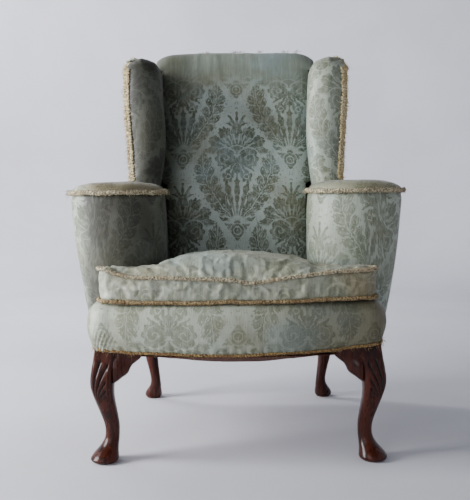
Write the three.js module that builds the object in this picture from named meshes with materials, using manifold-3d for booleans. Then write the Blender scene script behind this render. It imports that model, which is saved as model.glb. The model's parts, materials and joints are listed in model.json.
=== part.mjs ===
// An old wing armchair with a loose T-shaped seat cushion, built as it comes apart on a bench:
// polished legs and their knee ears, a hardwood frame with corner blocks, sagging webbing, coil
// springs, stuffed covers, thin outside panels, a sagging bottom cloth and the braids.
// Millimetres, +Z up. The chair faces -Y, and its origin is on the floor under its middle.
import * as THREE from "three";
import { mergeVertices } from "three/addons/utils/BufferGeometryUtils.js";
import Module from "manifold-3d";

const wasm = await Module();
wasm.setup();

// ---- Driving dimensions ----

const GAP = 0.3; // between pieces that touch
const RAIL_BOTTOM = 262;
const RAIL_TOP = 337;
const RAKE = 0.133; // how far the back leans for each millimetre of height
const BACK_FOOT_Y = 262; // outside of the back at the height of RAIL_BOTTOM
const FRONT_POST = { x: 308, y: -288, half: 26 };
const REAR_POST = { x: 256, y: 240, halfX: 20, halfY: 22 };
const POST_TOP = 985;
const BACK_HALF_WIDTH = 286;
const CREST_TOP = 1050;
const DECK_TOP = 379;
const SEAT_FRONT_Y = -370;
const SEAT_CORNER_X = 346;
const ARM_INNER_X = 183; // at the front; the inner faces spread apart towards the back
const ARM_SPREAD = 0.0865;
const ARM_WIDEST_Y = -110;
const ARM_FRONT_DEPTH = 108;
const ARM_TOP = 632;
const ARM_FRAME_TOP = 600;
const ARM_BOARD = 22;
const WING_BOTTOM = 634;
const WING_TOP = 1001;
const WING_FRAME_TOP = 950;
const CUSHION = { bottom: 381, top: 452, halfWidth: 322, neckHalfWidth: 169, front: -352, back: 104 };

// ---- Materials ----

function finish(colour, roughness, metalness = 0) {
  return new THREE.MeshStandardMaterial({ color: colour, roughness, metalness });
}

const DAMASK = finish(0x8c9a8c, 0.7);
const FADED_DAMASK = finish(0xaaa99a, 0.75);
const BRAID = finish(0xa38a5c, 0.9);
const POLISHED_WOOD = finish(0x4a1f12, 0.3);
const FRAME_WOOD = finish(0xb08a5a, 0.7);
const JUTE = finish(0x8a6a42, 0.95);
const BOTTOM_CLOTH = finish(0x4a2f20, 0.95);
const SPRING_STEEL = finish(0x7a6f62, 0.45, 0.9);

// ---- Geometry helpers ----

const point = (x, y, z) => new THREE.Vector3(x, y, z);
const mix = THREE.MathUtils.lerp;

const meanPoint = (ring) => ring.reduce((sum, p) => sum.add(p), point(0, 0, 0)).divideScalar(ring.length);

// A closed body through a row of rings that hold equally many points, with a fan over each end
// from a hub that sees the whole ring.
function loft(rings, hubOf = meanPoint) {
  const count = rings[0].length;
  const vertices = rings.flat();
  const faces = [];
  for (let r = 0; r + 1 < rings.length; r++) {
    for (let i = 0; i < count; i++) {
      const a = r * count + i;
      const b = r * count + ((i + 1) % count);
      faces.push(a, b, b + count, a, b + count, a + count);
    }
  }
  const last = (rings.length - 1) * count;
  const startHub = vertices.push(hubOf(rings[0])) - 1;
  const endHub = vertices.push(hubOf(rings.at(-1))) - 1;
  for (let i = 0; i < count; i++) {
    const next = (i + 1) % count;
    faces.push(startHub, next, i);
    faces.push(endHub, last + i, last + next);
  }
  return facingOut(new THREE.BufferGeometry().setFromPoints(vertices).setIndex(faces));
}

// Six times a mesh's signed volume: negative when its faces point inwards.
function signedVolume(geometry) {
  const place = geometry.getAttribute("position");
  const index = geometry.index.array;
  const [a, b, c] = [point(0, 0, 0), point(0, 0, 0), point(0, 0, 0)];
  let sum = 0;
  for (let i = 0; i < index.length; i += 3) {
    a.fromBufferAttribute(place, index[i]);
    b.fromBufferAttribute(place, index[i + 1]);
    c.fromBufferAttribute(place, index[i + 2]);
    sum += a.dot(b.cross(c));
  }
  return sum;
}

function facingOut(geometry) {
  if (signedVolume(geometry) < 0) {
    const index = geometry.index.array;
    for (let i = 0; i < index.length; i += 3) {
      [index[i + 1], index[i + 2]] = [index[i + 2], index[i + 1]];
    }
  }
  return geometry;
}

// A flat outline in X and Y, raised from one height to another.
function board(outline, bottom, top) {
  const shape = new THREE.Shape(outline.map(([x, y]) => new THREE.Vector2(x, y)));
  const made = new THREE.ExtrudeGeometry(shape, { depth: top - bottom, bevelEnabled: false });
  return made.translate(0, 0, bottom);
}

// A flat outline in Y and Z, carried across from one X to another.
function sideProfile(outline, left, right) {
  const shape = new THREE.Shape(outline.map(([y, z]) => new THREE.Vector2(y, z)));
  const made = new THREE.ExtrudeGeometry(shape, { depth: right - left, bevelEnabled: false });
  return made.rotateX(Math.PI / 2).rotateZ(Math.PI / 2).translate(left, 0, 0);
}

// A flat outline in X and Z, carried back from one Y to another.
function frontProfile(outline, front, back) {
  const shape = new THREE.Shape(outline.map(([x, z]) => new THREE.Vector2(x, z)));
  const made = new THREE.ExtrudeGeometry(shape, { depth: back - front, bevelEnabled: false });
  return made.rotateX(Math.PI / 2).translate(0, back, 0);
}

function box(x0, x1, y0, y1, z0, z1) {
  const made = new THREE.BoxGeometry(x1 - x0, y1 - y0, z1 - z0);
  return made.translate((x0 + x1) / 2, (y0 + y1) / 2, (z0 + z1) / 2);
}

// A square bar between two level ends, half as wide and deep as the numbers say, and `extra` bigger.
function slantedBar(foot, head, halfX, halfY, extra = 0) {
  const ring = ({ x, y, z }) => [
    point(x - halfX - extra, y - halfY - extra, z),
    point(x + halfX + extra, y - halfY - extra, z),
    point(x + halfX + extra, y + halfY + extra, z),
    point(x - halfX - extra, y + halfY + extra, z),
  ];
  return loft([ring({ ...foot, z: foot.z - extra }), ring({ ...head, z: head.z + extra })]);
}

// A tube of round or flattened section along a curve; a closed curve makes a ring.
function braid(curve, halfWide, halfHigh, steps, sides = 6, closed = false) {
  const frames = curve.computeFrenetFrames(steps, closed);
  const up = point(0, 0, 1);
  const rings = [];
  for (let s = 0; s <= (closed ? steps - 1 : steps); s++) {
    const centre = curve.getPointAt(s / steps);
    const across = frames.tangents[s].clone().cross(up);
    const side = across.lengthSq() > 0.05 ? across.normalize() : point(1, 0, 0);
    const rise = side.clone().cross(frames.tangents[s]).normalize();
    const ring = [];
    for (let i = 0; i < sides; i++) {
      const turn = ((i + 0.5) / sides) * 2 * Math.PI;
      const across2 = side.clone().multiplyScalar(Math.cos(turn) * halfWide);
      ring.push(centre.clone().add(across2).addScaledVector(rise, Math.sin(turn) * halfHigh));
    }
    rings.push(ring);
  }
  return closed ? closedTube(rings) : loft(rings);
}

function closedTube(rings) {
  const count = rings[0].length;
  const faces = [];
  for (let r = 0; r < rings.length; r++) {
    const next = (r + 1) % rings.length;
    for (let i = 0; i < count; i++) {
      const j = (i + 1) % count;
      faces.push(r * count + i, r * count + j, next * count + j);
      faces.push(r * count + i, next * count + j, next * count + i);
    }
  }
  return facingOut(new THREE.BufferGeometry().setFromPoints(rings.flat()).setIndex(faces));
}

// ---- Joining and cutting ----

function solid(geometry) {
  const bare = new THREE.BufferGeometry().setAttribute("position", geometry.getAttribute("position"));
  if (geometry.index) {
    bare.setIndex(geometry.index);
  }
  const merged = mergeVertices(bare, 1e-4);
  const data = { numProp: 3, vertProperties: merged.attributes.position.array };
  return new wasm.Manifold(new wasm.Mesh({ ...data, triVerts: new Uint32Array(merged.index.array) }));
}

function surface(body) {
  const mesh = body.simplify(0.02).getMesh();
  return new THREE.BufferGeometry()
    .setAttribute("position", new THREE.BufferAttribute(mesh.vertProperties, 3))
    .setIndex(new THREE.BufferAttribute(mesh.triVerts, 1));
}

const without = (body, cutters) => cutters.reduce((left, cutter) => left.subtract(solid(cutter)), body);

// The biggest of the separate lumps that a cut leaves, so that no sliver stays with the piece.
function mainLump(body) {
  return body.decompose().reduce((best, lump) => (lump.volume() > best.volume() ? lump : best));
}

// ---- The chair ----

const chair = new THREE.Group();

function add(name, geometry, material) {
  const mesh = new THREE.Mesh(geometry, material);
  mesh.name = name;
  chair.add(mesh);
}

// Adds a piece of the right-hand side and its mirror image on the left.
function addPair(name, geometry, material) {
  add(`${name}_right`, geometry, material);
  const mirrored = facingOut(mergeVertices(geometry.clone().scale(-1, 1, 1)));
  add(`${name}_left`, mirrored, material);
}

const bothSides = (geometry) => [geometry, facingOut(mergeVertices(geometry.clone().scale(-1, 1, 1)))];

const backPlane = (z) => BACK_FOOT_Y + RAKE * (z - RAIL_BOTTOM); // outside of the back frame
const postFront = (z) => backPlane(z) - 2 * REAR_POST.halfY;

// ---- Legs ----

// A level ring of a leg: a square with rounded corners whose roundness is the exponent.
function legRing(x, y, z, half, exponent, count = 16) {
  const ring = [];
  for (let i = 0; i < count; i++) {
    const turn = (i / count) * 2 * Math.PI;
    const [c, s] = [Math.cos(turn), Math.sin(turn)];
    const reach = half / (Math.abs(c) ** exponent + Math.abs(s) ** exponent) ** (1 / exponent);
    ring.push(point(x + c * reach, y + s * reach, z));
  }
  return ring;
}

// Cabriole stations: height, how far the middle stands out along the diagonal, half width, squareness.
const FRONT_LEG = [
  [RAIL_TOP, 0, 26, 12], [RAIL_BOTTOM, 0, 26, 12], [245, 2, 27.2, 7], [222, 6, 28.5, 5],
  [200, 9, 28.5, 4], [182, 9.5, 27.2, 3.4], [165, 8, 25, 3], [146, 4.5, 22.8, 2.6],
  [126, 0, 21, 2.4], [106, -4.5, 19.2, 2.2], [87, -8, 17.8, 2], [68, -9, 16.8, 2],
  [52, -7.5, 17.6, 2], [38, -3, 21, 2], [26, 2.5, 26.5, 2], [15, 6.5, 31.5, 2], [8, 8, 33, 2],
  [3.5, 8, 30, 2], [0, 7.5, 24.5, 2],
];
const REAR_LEG = [
  [255, 1, 21.5, 6], [225, 6, 21.5, 4], [190, 9, 21, 3], [155, 9.5, 20, 2.6], [122, 7, 18.2, 2.4],
  [96, 2.5, 16, 2.2], [74, -1.5, 14.8, 2], [56, -3.5, 14.6, 2], [42, -3, 16.4, 2], [30, 0.5, 20, 2],
  [20, 3.5, 23.8, 2], [11, 5, 25.5, 2], [5, 5, 24, 2], [0, 4.5, 19.5, 2],
];
const REAR_SPLAY = 22; // how far back the rear feet stand behind their posts

function frontLeg() {
  return loft(FRONT_LEG.map(([z, out, half, exponent]) =>
    legRing(FRONT_POST.x + out, FRONT_POST.y - out, z, half, exponent)));
}

function rearLeg() {
  const rings = REAR_LEG.map(([z, out, half, exponent]) => {
    const splay = REAR_SPLAY * (1 - z / RAIL_BOTTOM);
    return legRing(REAR_POST.x + out, REAR_POST.y + out + splay, z, half, exponent);
  });
  const { x, y, halfX, halfY } = REAR_POST;
  const block = box(x - halfX, x + halfX, y - halfY, y + halfY, RAIL_BOTTOM - 8, RAIL_TOP);
  return surface(solid(loft(rings)).add(solid(block)));
}

// The scalloped bracket beside a knee, as a face outline: distance from the post, and height.
const EAR_OUTLINE = [
  [0, 0], [62, 0], [59, -8], [53, -16], [44, -23], [36, -29], [31, -37], [27, -47], [21, -53], [11, -59],
  [3, -65], [-5, -71.5], [-7, -71], [-3.2, -40], [-0.7, -17],
];
const EAR_THICK = 22;

function frontEar() {
  const start = FRONT_POST.x - FRONT_POST.half - GAP;
  const outline = EAR_OUTLINE.map(([away, down]) => [start - away, RAIL_BOTTOM - GAP + down]).reverse();
  const face = FRONT_POST.y - FRONT_POST.half;
  return frontProfile(outline, face, face + EAR_THICK);
}

function sideEar() {
  const start = FRONT_POST.y + FRONT_POST.half + GAP;
  const outline = EAR_OUTLINE.map(([away, down]) => [start + away, RAIL_BOTTOM - GAP + down]);
  const face = FRONT_POST.x + FRONT_POST.half;
  return sideProfile(outline, face - EAR_THICK, face);
}

// ---- Frame ----

const SIDE_SLOPE = (FRONT_POST.x - REAR_POST.x + 4) / (REAR_POST.y - FRONT_POST.y);
const sideRailOuter = (y) => FRONT_POST.x + 24 - (y + 254) * SIDE_SLOPE;
const RAIL_THICK = 28;

function frontRail() {
  const end = FRONT_POST.x - FRONT_POST.half - GAP;
  const outer = [];
  const inner = [];
  for (let i = 0; i <= 8; i++) {
    const x = mix(-end, end, i / 8);
    const bow = 40 * (1 - (x / end) ** 2);
    outer.push([x, -303 - bow]);
    inner.unshift([x, -272 - bow]);
  }
  return board([...outer, ...inner], RAIL_BOTTOM, RAIL_TOP);
}

function sideRail() {
  const front = FRONT_POST.y + FRONT_POST.half + GAP;
  const back = REAR_POST.y - REAR_POST.halfY - GAP;
  const outline = [
    [sideRailOuter(front) - RAIL_THICK, front], [sideRailOuter(front), front],
    [sideRailOuter(back), back], [sideRailOuter(back) - RAIL_THICK, back],
  ];
  return board(outline, RAIL_BOTTOM, RAIL_TOP);
}

function backRail() {
  const end = REAR_POST.x - REAR_POST.halfX - GAP;
  return box(-end, end, 228, 256, RAIL_BOTTOM, RAIL_TOP);
}

function cornerBlock() {
  const outline = [[205, -286], [280.5, -270], [280.5, -260.5], [301, -260.5], [293.5, -170]];
  return board(outline, 288, 326);
}

function backPost() {
  const { x, halfX } = REAR_POST;
  const foot = RAIL_TOP + GAP;
  const outline = [
    [postFront(foot), foot], [backPlane(foot), foot], [backPlane(POST_TOP), POST_TOP],
    [postFront(POST_TOP), POST_TOP],
  ];
  return sideProfile(outline, x - halfX, x + halfX);
}

// A cross member of the back, between the posts: a bar whose section leans with the back.
function backBar(bottom, top, rise, extra = 0) {
  const end = REAR_POST.x - REAR_POST.halfX - GAP;
  const [low, high] = [bottom - extra, top + extra];
  const lean = [
    [backPlane(low) - 34 - extra, low], [backPlane(low) - 6 + extra, low],
    [backPlane(high + rise) - 6 + extra, high + rise], [backPlane(high + rise) - 34 - extra, high + rise],
  ];
  const bar = solid(sideProfile(lean, -end, end));
  const face = [[-end, low]];
  face.push([end, low]);
  for (let i = 0; i <= 8; i++) {
    const x = mix(end, -end, i / 8);
    face.push([x, high + rise * (1 - (x / end) ** 2)]);
  }
  return surface(bar.intersect(solid(frontProfile(face, 100, 500))));
}

const ARM_STUMP = {
  foot: { x: 302, y: -182, z: RAIL_TOP + GAP },
  head: { x: 332, y: -160, z: ARM_FRAME_TOP },
  halfX: 13,
  halfY: 24,
};
const WING_POST = {
  foot: { x: 262, y: 64, z: ARM_FRAME_TOP + ARM_BOARD + 2 * GAP },
  head: { x: 273, y: 76, z: WING_FRAME_TOP },
  halfX: 12,
  halfY: 17,
};

function bar({ foot, head, halfX, halfY }, extra = 0) {
  return slantedBar(foot, head, halfX, halfY, extra);
}

function armRail(extra = 0) {
  const back = postFront(ARM_FRAME_TOP) - 1;
  const outline = [
    [298 - extra, -190 - extra], [354 + extra, -190 - extra], [326 + extra, 60],
    [292 + extra, back + extra], [238 - extra, back + extra], [242 - extra, 40],
  ];
  return board(outline, ARM_FRAME_TOP + GAP - extra, ARM_FRAME_TOP + GAP + ARM_BOARD + extra);
}

function wingRail(extra = 0) {
  const back = postFront(WING_FRAME_TOP) - 1;
  const outline = [
    [256 - extra, 56 - extra], [288 + extra, 56 - extra], [278 + extra, back + extra],
    [240 - extra, back + extra],
  ];
  return board(outline, WING_FRAME_TOP + GAP - extra, WING_FRAME_TOP + 26 + extra);
}

// ---- Webbing and springs ----

const SAG = 34; // how far the middle of the webbing hangs below the rails
const seatMiddle = { x: 0, y: -35 };

// Hang of a cloth or strap across the seat opening: 1 in the middle and 0 at the rails.
function hang(x, y) {
  const across = Math.max(0, 1 - (x / 285) ** 2);
  const along = Math.max(0, 1 - ((y - seatMiddle.y) / 262) ** 2);
  return across ** 0.8 * along ** 0.8;
}

const STRAP = { halfWide: 25, thick: 2, top: RAIL_BOTTOM - GAP };

// One strap of webbing, tacked under two rails, from one level point to another.
function strap(from, to, lower) {
  const steps = 12;
  const along = to.clone().sub(from).normalize();
  const side = point(-along.y, along.x, 0).multiplyScalar(STRAP.halfWide);
  const rings = [];
  for (let i = 0; i <= steps; i++) {
    const at = from.clone().lerp(to, i / steps);
    const deep = hang(at.x, at.y);
    const top = STRAP.top - lower * Math.min(1, 4 * deep) - SAG * deep;
    const [left, right] = [at.clone().add(side), at.clone().sub(side)];
    rings.push([
      point(left.x, left.y, top), point(right.x, right.y, top),
      point(right.x, right.y, top - STRAP.thick), point(left.x, left.y, top - STRAP.thick),
    ]);
  }
  return loft(rings);
}

const SPRING_X = [-125, 0, 125];
const SPRING_Y = [-140, 45];
const SPRING_TOP = 338;
const SPRING_WIRE = 2;

// An hourglass coil spring: wide at both ends, with its wire's helix stretched to reach the webbing.
function spring(x, y) {
  const foot = STRAP.top - SAG * hang(x, y) + SPRING_WIRE + 5;
  const turns = 4;
  const points = [];
  for (let i = 0; i <= turns * 8; i++) {
    const share = i / (turns * 8);
    const radius = 24 + 18 * (2 * share - 1) ** 2;
    const turn = share * turns * 2 * Math.PI;
    const z = mix(foot, SPRING_TOP - SPRING_WIRE - 1, share);
    points.push(point(x + Math.cos(turn) * radius, y + Math.sin(turn) * radius, z));
  }
  return braid(new THREE.CatmullRomCurve3(points), SPRING_WIRE, SPRING_WIRE, turns * 10, 4);
}

// The bottom cloth, tacked under the rails, that hangs lower than the webbing it hides.
function bottomCloth() {
  const [columns, rows] = [12, 10];
  const edge = (v) => mix(sideRailOuter(-254), sideRailOuter(218), v) - 6;
  const top = (x, y) => RAIL_BOTTOM - 7 - 56 * hang(x, y);
  const sheets = [0, -1.5].map((drop) => {
    const grid = [];
    for (let r = 0; r <= rows; r++) {
      const v = r / rows;
      for (let c = 0; c <= columns; c++) {
        const x = mix(-1, 1, c / columns) * edge(v);
        const front = -300 - 34 * (1 - (x / 320) ** 2);
        const y = mix(front, 252, v);
        grid.push(point(x, y, top(x, y) + drop));
      }
    }
    return grid;
  });
  const corners = [
    ...bothSides(box(218, 400, -400, -261, 0, RAIL_BOTTOM)),
    ...bothSides(box(311, 400, -268, -198, 0, RAIL_BOTTOM)),
    ...bothSides(box(228, 400, 217, 400, 0, RAIL_BOTTOM)),
  ];
  return surface(mainLump(without(solid(sheetBody(sheets, columns, rows)), corners)));
}

// Closes an upper and a lower grid of points into one thin body.
function sheetBody([upper, lower], columns, rows) {
  const wide = columns + 1;
  const size = upper.length;
  const faces = [];
  const quad = (a, b, c, d) => faces.push(a, b, c, a, c, d);
  for (let r = 0; r < rows; r++) {
    for (let c = 0; c < columns; c++) {
      const a = r * wide + c;
      quad(a, a + 1, a + wide + 1, a + wide);
      quad(size + a, size + a + wide, size + a + wide + 1, size + a + 1);
    }
  }
  for (let c = 0; c < columns; c++) {
    const far = rows * wide + c;
    quad(c, size + c, size + c + 1, c + 1);
    quad(far, far + 1, size + far + 1, size + far);
  }
  for (let r = 0; r < rows; r++) {
    const a = r * wide;
    const b = a + columns;
    quad(a, a + wide, size + a + wide, size + a);
    quad(b, size + b, size + b + wide, b + wide);
  }
  return facingOut(new THREE.BufferGeometry().setFromPoints([...upper, ...lower]).setIndex(faces));
}

// ---- Arms ----

// Outer face of an arm at its widest: it leans in towards the rail below.
const armOuter = (z) => 362 + 55 * ((z - RAIL_BOTTOM) / (ARM_TOP - RAIL_BOTTOM)) ** 0.8;
const armRear = (z) => mix(285, 296, (z - RAIL_BOTTOM) / (ARM_TOP - RAIL_BOTTOM));

// How far out the outer face stands, from its widest place back to the rear post.
function armOuterAt(y, z) {
  const share = Math.max(0, (y - ARM_WIDEST_Y) / 420);
  return mix(armOuter(z), armRear(z), share ** 1.15);
}

const armInnerAt = (y) => ARM_INNER_X + ARM_SPREAD * Math.max(0, y - ARM_WIDEST_Y);

// A level ring of the right arm: a straight inner face, a half-round front, a slanting outer face.
function armRing(z, { outset = 0, outerInset = 0, behind = 0, back = backPlane(z) - 1 + behind } = {}) {
  const round = 12;
  const inner = ARM_INNER_X - outset;
  const outer = armOuter(z) + outset - outerInset;
  const middle = (inner + outer) / 2;
  const ring = [point(armInnerAt(back) - outset, back, z), point(armInnerAt(60) - outset, 60, z)];
  for (let i = 0; i <= round; i++) {
    const turn = (i / round) * Math.PI;
    const x = middle - Math.cos(turn) * ((outer - inner) / 2);
    ring.push(point(x, ARM_WIDEST_Y - Math.sin(turn) ** 0.9 * (ARM_FRONT_DEPTH + outset), z));
  }
  for (const y of [0, 120, back]) {
    ring.push(point(armOuterAt(y, z) + outset - outerInset, y, z));
  }
  return ring;
}

// All the room at and behind the back frame.
function behindPosts(right = 600, high = 1200) {
  const low = 200;
  const outline = [[postFront(low) - GAP, low], [800, low], [800, high], [postFront(high) - GAP, high]];
  return sideProfile(outline, -400, right);
}

const ARM_HEIGHTS = [RAIL_BOTTOM, 320, 400, 500, 580, ARM_TOP];
const PANEL = 4.5; // thickness of the covered outside panels
const armBody = (options) => solid(loft(ARM_HEIGHTS.map((z) => armRing(z, options))));
const PANEL_FRONT_Y = -96;

function outsideArm() {
  const skin = armBody({}).subtract(armBody({ outerInset: PANEL, behind: 3 }));
  const rear = solid(box(279, 500, PANEL_FRONT_Y, 500, 0, ARM_TOP - 6));
  return surface(mainLump(skin.intersect(rear)));
}

// The inside arm: a stuffed wall, the round front and the layer over the arm board, open below.
function armPad() {
  const inset = armBody({ outerInset: PANEL + GAP });
  const barrel = armBody({}).intersect(solid(box(0, 600, -400, PANEL_FRONT_Y - GAP, 0, 700)));
  const hollow = box(ARM_INNER_X + 46, 600, PANEL_FRONT_Y, 500, 0, ARM_FRAME_TOP);
  const [front, rear] = [FRONT_POST.y + FRONT_POST.half + GAP, REAR_POST.y];
  const seatRoom = [
    [0, -400], [335, -400], [335, front], [sideRailOuter(front) + GAP, front],
    [sideRailOuter(rear) + GAP, rear], [sideRailOuter(rear) + GAP, 500], [0, 500],
  ];
  const below = board(seatRoom, 0, DECK_TOP + 1);
  const frame = [bar(ARM_STUMP, GAP), armRail(GAP), bar(WING_POST, GAP), behindPosts()];
  return surface(mainLump(without(inset.add(barrel), [hollow, below, ...frame])));
}

// The oval cap on top of the arm, crowned, and cut round the foot of the wing.
function armTop() {
  const rings = [[0.6, -2], [8, 0], [17, -6], [22, -20], [26, -42]].map(([rise, outset]) =>
    armRing(ARM_TOP, { outset, back: 308 + outset * 0.1 }).map((p) => p.setZ(ARM_TOP + rise)));
  const wing = wingBody({ outset: 1.5, bottom: WING_BOTTOM - 8 });
  const post = solid(box(0, 277, postFront(ARM_TOP) - 4, 500, 300, POST_TOP));
  return surface(mainLump(solid(loft(rings)).subtract(wing).subtract(post)));
}

const ARM_BRAID_HALF = 4.5;
const WING_BRAID_HALF = 6;

function armBraid() {
  const outset = ARM_BRAID_HALF + 1.5;
  const ring = armRing(ARM_TOP, { outset, back: 250 });
  ring.shift();
  const path = ring.map((p) => p.setZ(ARM_TOP - 1));
  path[0].set(armInnerAt(20) - outset, 20, ARM_TOP - 1);
  return braid(new THREE.CatmullRomCurve3(path, false, "centripetal"), ARM_BRAID_HALF, 7.5, 44);
}

// ---- Wings ----

const WING_OUTER = [[634, 285], [720, 290], [820, 296], [920, 299], [1001, 297]];
const WING_INNER = [[634, 214], [700, 205], [780, 199], [880, 201], [960, 207], [1001, 216]];
const WING_FRONT = [[634, 2], [680, 24], [740, 38], [820, 36], [900, 30], [950, 34], [985, 48], [1001, 74]];

// A value read between the stations of a table by height.
function station(table, z) {
  const next = table.findIndex(([height]) => height >= z);
  if (next <= 0) {
    return next === 0 ? table[0][1] : table.at(-1)[1];
  }
  const [low, from] = table[next - 1];
  const [high, to] = table[next];
  return mix(from, to, (z - low) / (high - low));
}

// A level ring of the right wing: rolled front edge, bulging inner face, flat outer face.
function wingRing(z, { outset = 0, outerInset = 0, behind = 0 } = {}) {
  const shrink = z > 975 ? ((z - 975) / 26) ** 2 * 9 : 0;
  const inner = station(WING_INNER, z) - outset + shrink;
  const outer = station(WING_OUTER, z) + outset - outerInset - shrink;
  const front = station(WING_FRONT, z) - outset;
  const back = backPlane(z) - 1 + behind;
  const middle = (inner + outer) / 2;
  const rear = mix(238, 226, (z - WING_BOTTOM) / (WING_TOP - WING_BOTTOM)) - outset + shrink;
  const ring = [point(rear, back, z), point(mix(rear, inner, 0.25), 150, z)];
  for (let i = 0; i <= 8; i++) {
    const turn = (i / 8) * Math.PI;
    const x = middle - Math.cos(turn) * ((outer - inner) / 2);
    ring.push(point(x, front + 40 - Math.sin(turn) * 40, z));
  }
  ring.push(point(mix(outer, 288, 0.5), 180, z));
  ring.push(point(288 + outset - outerInset, back, z));
  return ring;
}

const WING_HEIGHTS = [634, 680, 740, 800, 860, 920, 960, 985, 996, 1001];

function wingBody(options = {}) {
  const heights = options.bottom ? [options.bottom, ...WING_HEIGHTS] : WING_HEIGHTS;
  return solid(loft(heights.map((z) => wingRing(z, options))));
}

const WING_PANEL_FRONT_Y = 84;

function outsideWing() {
  const skin = wingBody().subtract(wingBody({ outerInset: PANEL, behind: 3 }));
  const rear = solid(box(279, 500, WING_PANEL_FRONT_Y, 600, 0, 980));
  return surface(mainLump(skin.intersect(rear)));
}

function wingPad() {
  const inset = wingBody({ outerInset: PANEL + GAP });
  const front = wingBody().intersect(solid(box(0, 600, -400, WING_PANEL_FRONT_Y - GAP, 0, 1200)));
  const top = wingBody().intersect(solid(box(0, 600, -400, 600, 980 + GAP, 1200)));
  const hollow = box(249, 600, 98, 600, 0, WING_FRAME_TOP);
  const back = [behindPosts(REAR_POST.x + REAR_POST.halfX + GAP, POST_TOP + GAP), behindPosts(239)];
  const cutters = [hollow, bar(WING_POST, GAP), wingRail(GAP), ...back];
  return surface(mainLump(without(inset.add(front).add(top), cutters)));
}

function wingBraid() {
  const path = WING_HEIGHTS.slice(0, 8).map((z) =>
    point(station(WING_OUTER, z) + WING_BRAID_HALF + 1, station(WING_FRONT, z) + 34, z));
  path[0].z += 33;
  path.push(point(288, 78, 1006), point(283, 120, 1009), point(280, 200, 1009), point(278, 262, 1009));
  const curve = new THREE.CatmullRomCurve3(path, false, "centripetal");
  return braid(curve, WING_BRAID_HALF, WING_BRAID_HALF, 40);
}

// ---- Back ----

const BACK_FRONT = [
  [118, 341], [121, 430], [127, 520], [146, 620], [178, 720], [212, 820], [243, 920], [262, 985],
  [280, 1020], [300, 1040], [324, CREST_TOP], [350, 1047], [369, 1036], [376, 1018], [376, 1001],
];
const BACK_FACE = [
  [-201, 341], [201, 341], [201, 652], [219, 654], [219, 1002], [238, 1003], [228, 1028],
  [204, 1042], [160, 1048], [0, CREST_TOP + 1], [-160, 1048], [-204, 1042], [-228, 1028],
  [-238, 1003], [-219, 1002], [-219, 654], [-201, 652],
];

function backPad() {
  const rear = [[postFront(1001) - 1, 1001], [postFront(341) - 1, 341]];
  const body = solid(sideProfile([...BACK_FRONT, ...rear].reverse(), -240, 240));
  const shaped = body.intersect(solid(frontProfile(BACK_FACE, 50, 450)));
  const posts = bothSides(box(235, 277, 200, 500, 300, POST_TOP + GAP));
  return surface(mainLump(without(shaped, [backBar(940, 990, 22, GAP), ...posts])));
}

function outsideBack() {
  const outline = (z) => [[backPlane(z) + GAP, z], [backPlane(z) + PANEL, z]];
  const [low, high] = [outline(RAIL_BOTTOM), outline(1000)];
  const slab = sideProfile([low[0], low[1], high[1], high[0]], -BACK_HALF_WIDTH, BACK_HALF_WIDTH);
  return slab;
}

// ---- Seat ----

// The right half of the seat's front outline, from the middle round the corner to the arm.
function seatFront(outset = 0) {
  const points = [];
  for (let i = 0; i <= 5; i++) {
    const x = mix(0, 292, i / 5);
    points.push([x, SEAT_FRONT_Y - outset + 26 * (x / 292) ** 2]);
  }
  for (let i = 1; i <= 5; i++) {
    const turn = (i / 5) * (Math.PI / 2);
    const reach = 52 + outset;
    points.push([294 + Math.sin(turn) * reach, -294 - Math.cos(turn) * reach]);
  }
  points.push([SEAT_CORNER_X + outset + 3, -222]);
  return points;
}

const mirrorOutline = (half) => [...half.map(([x, y]) => [-x, y]).reverse(), ...half.slice(1)];

function seatPad() {
  const back = 112;
  const [deckFront, deckBack] = [armInnerAt(-222) - 4, armInnerAt(back) - 4];
  const half = [...seatFront(), [deckFront, -222], [deckFront, ARM_WIDEST_Y], [deckBack, back]];
  const whole = solid(board(mirrorOutline(half), RAIL_BOTTOM, DECK_TOP));
  const under = [
    [-FRONT_POST.x - 27, -315], [-270, -316], [-200, -328], [-100, -341], [0, -345],
    [100, -341], [200, -328], [270, -316], [FRONT_POST.x + 27, -315], [FRONT_POST.x + 27, 300],
    [-FRONT_POST.x - 27, 300],
  ];
  return surface(whole.subtract(solid(board(under, 200, RAIL_TOP + 3))));
}

function seatBraid() {
  const half = seatFront(4.5);
  const path = mirrorOutline(half).map(([x, y]) => point(x, y, RAIL_BOTTOM + 1));
  return braid(new THREE.CatmullRomCurve3(path, false, "centripetal"), 3.2, 7, 48);
}

// ---- Cushion ----

// The right half of the T-shaped cushion's outline, from the middle of its front to its back.
function cushionHalf(outset = 0) {
  const { halfWidth, neckHalfWidth, front, back } = CUSHION;
  const points = [];
  for (let i = 0; i <= 3; i++) {
    const x = mix(0, halfWidth - 34, i / 3);
    points.push([x, front - outset + 18 * (x / halfWidth) ** 2]);
  }
  points.push([halfWidth - 12 + outset * 0.7, front + 22 - outset * 0.7]);
  points.push([halfWidth + outset, front + 44], [halfWidth + outset, -244]);
  points.push([halfWidth - 10 + outset, -234 + outset], [halfWidth - 44, -234 + outset]);
  for (let i = 1; i <= 4; i++) {
    const turn = (i / 4) * (Math.PI / 2);
    const across = halfWidth - 54 - neckHalfWidth;
    const x = neckHalfWidth + outset + (1 - Math.sin(turn)) * across;
    points.push([x, -108 - Math.cos(turn) * (126 - outset)]);
  }
  points.push([neckHalfWidth + 15 + outset, back - 22], [neckHalfWidth - 1 + outset, back + outset]);
  points.push([neckHalfWidth - 50, back + outset], [0, back + outset]);
  return points;
}

function cushionOutline(outset) {
  const half = cushionHalf(outset);
  return [...half, ...half.slice(1, -1).reverse().map(([x, y]) => [-x, y])];
}

const cushionCrown = (x, y) => 20 * Math.max(0, 1 - (x / 330) ** 2) * Math.max(0, 1 - ((y + 90) / 290) ** 2);

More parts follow.
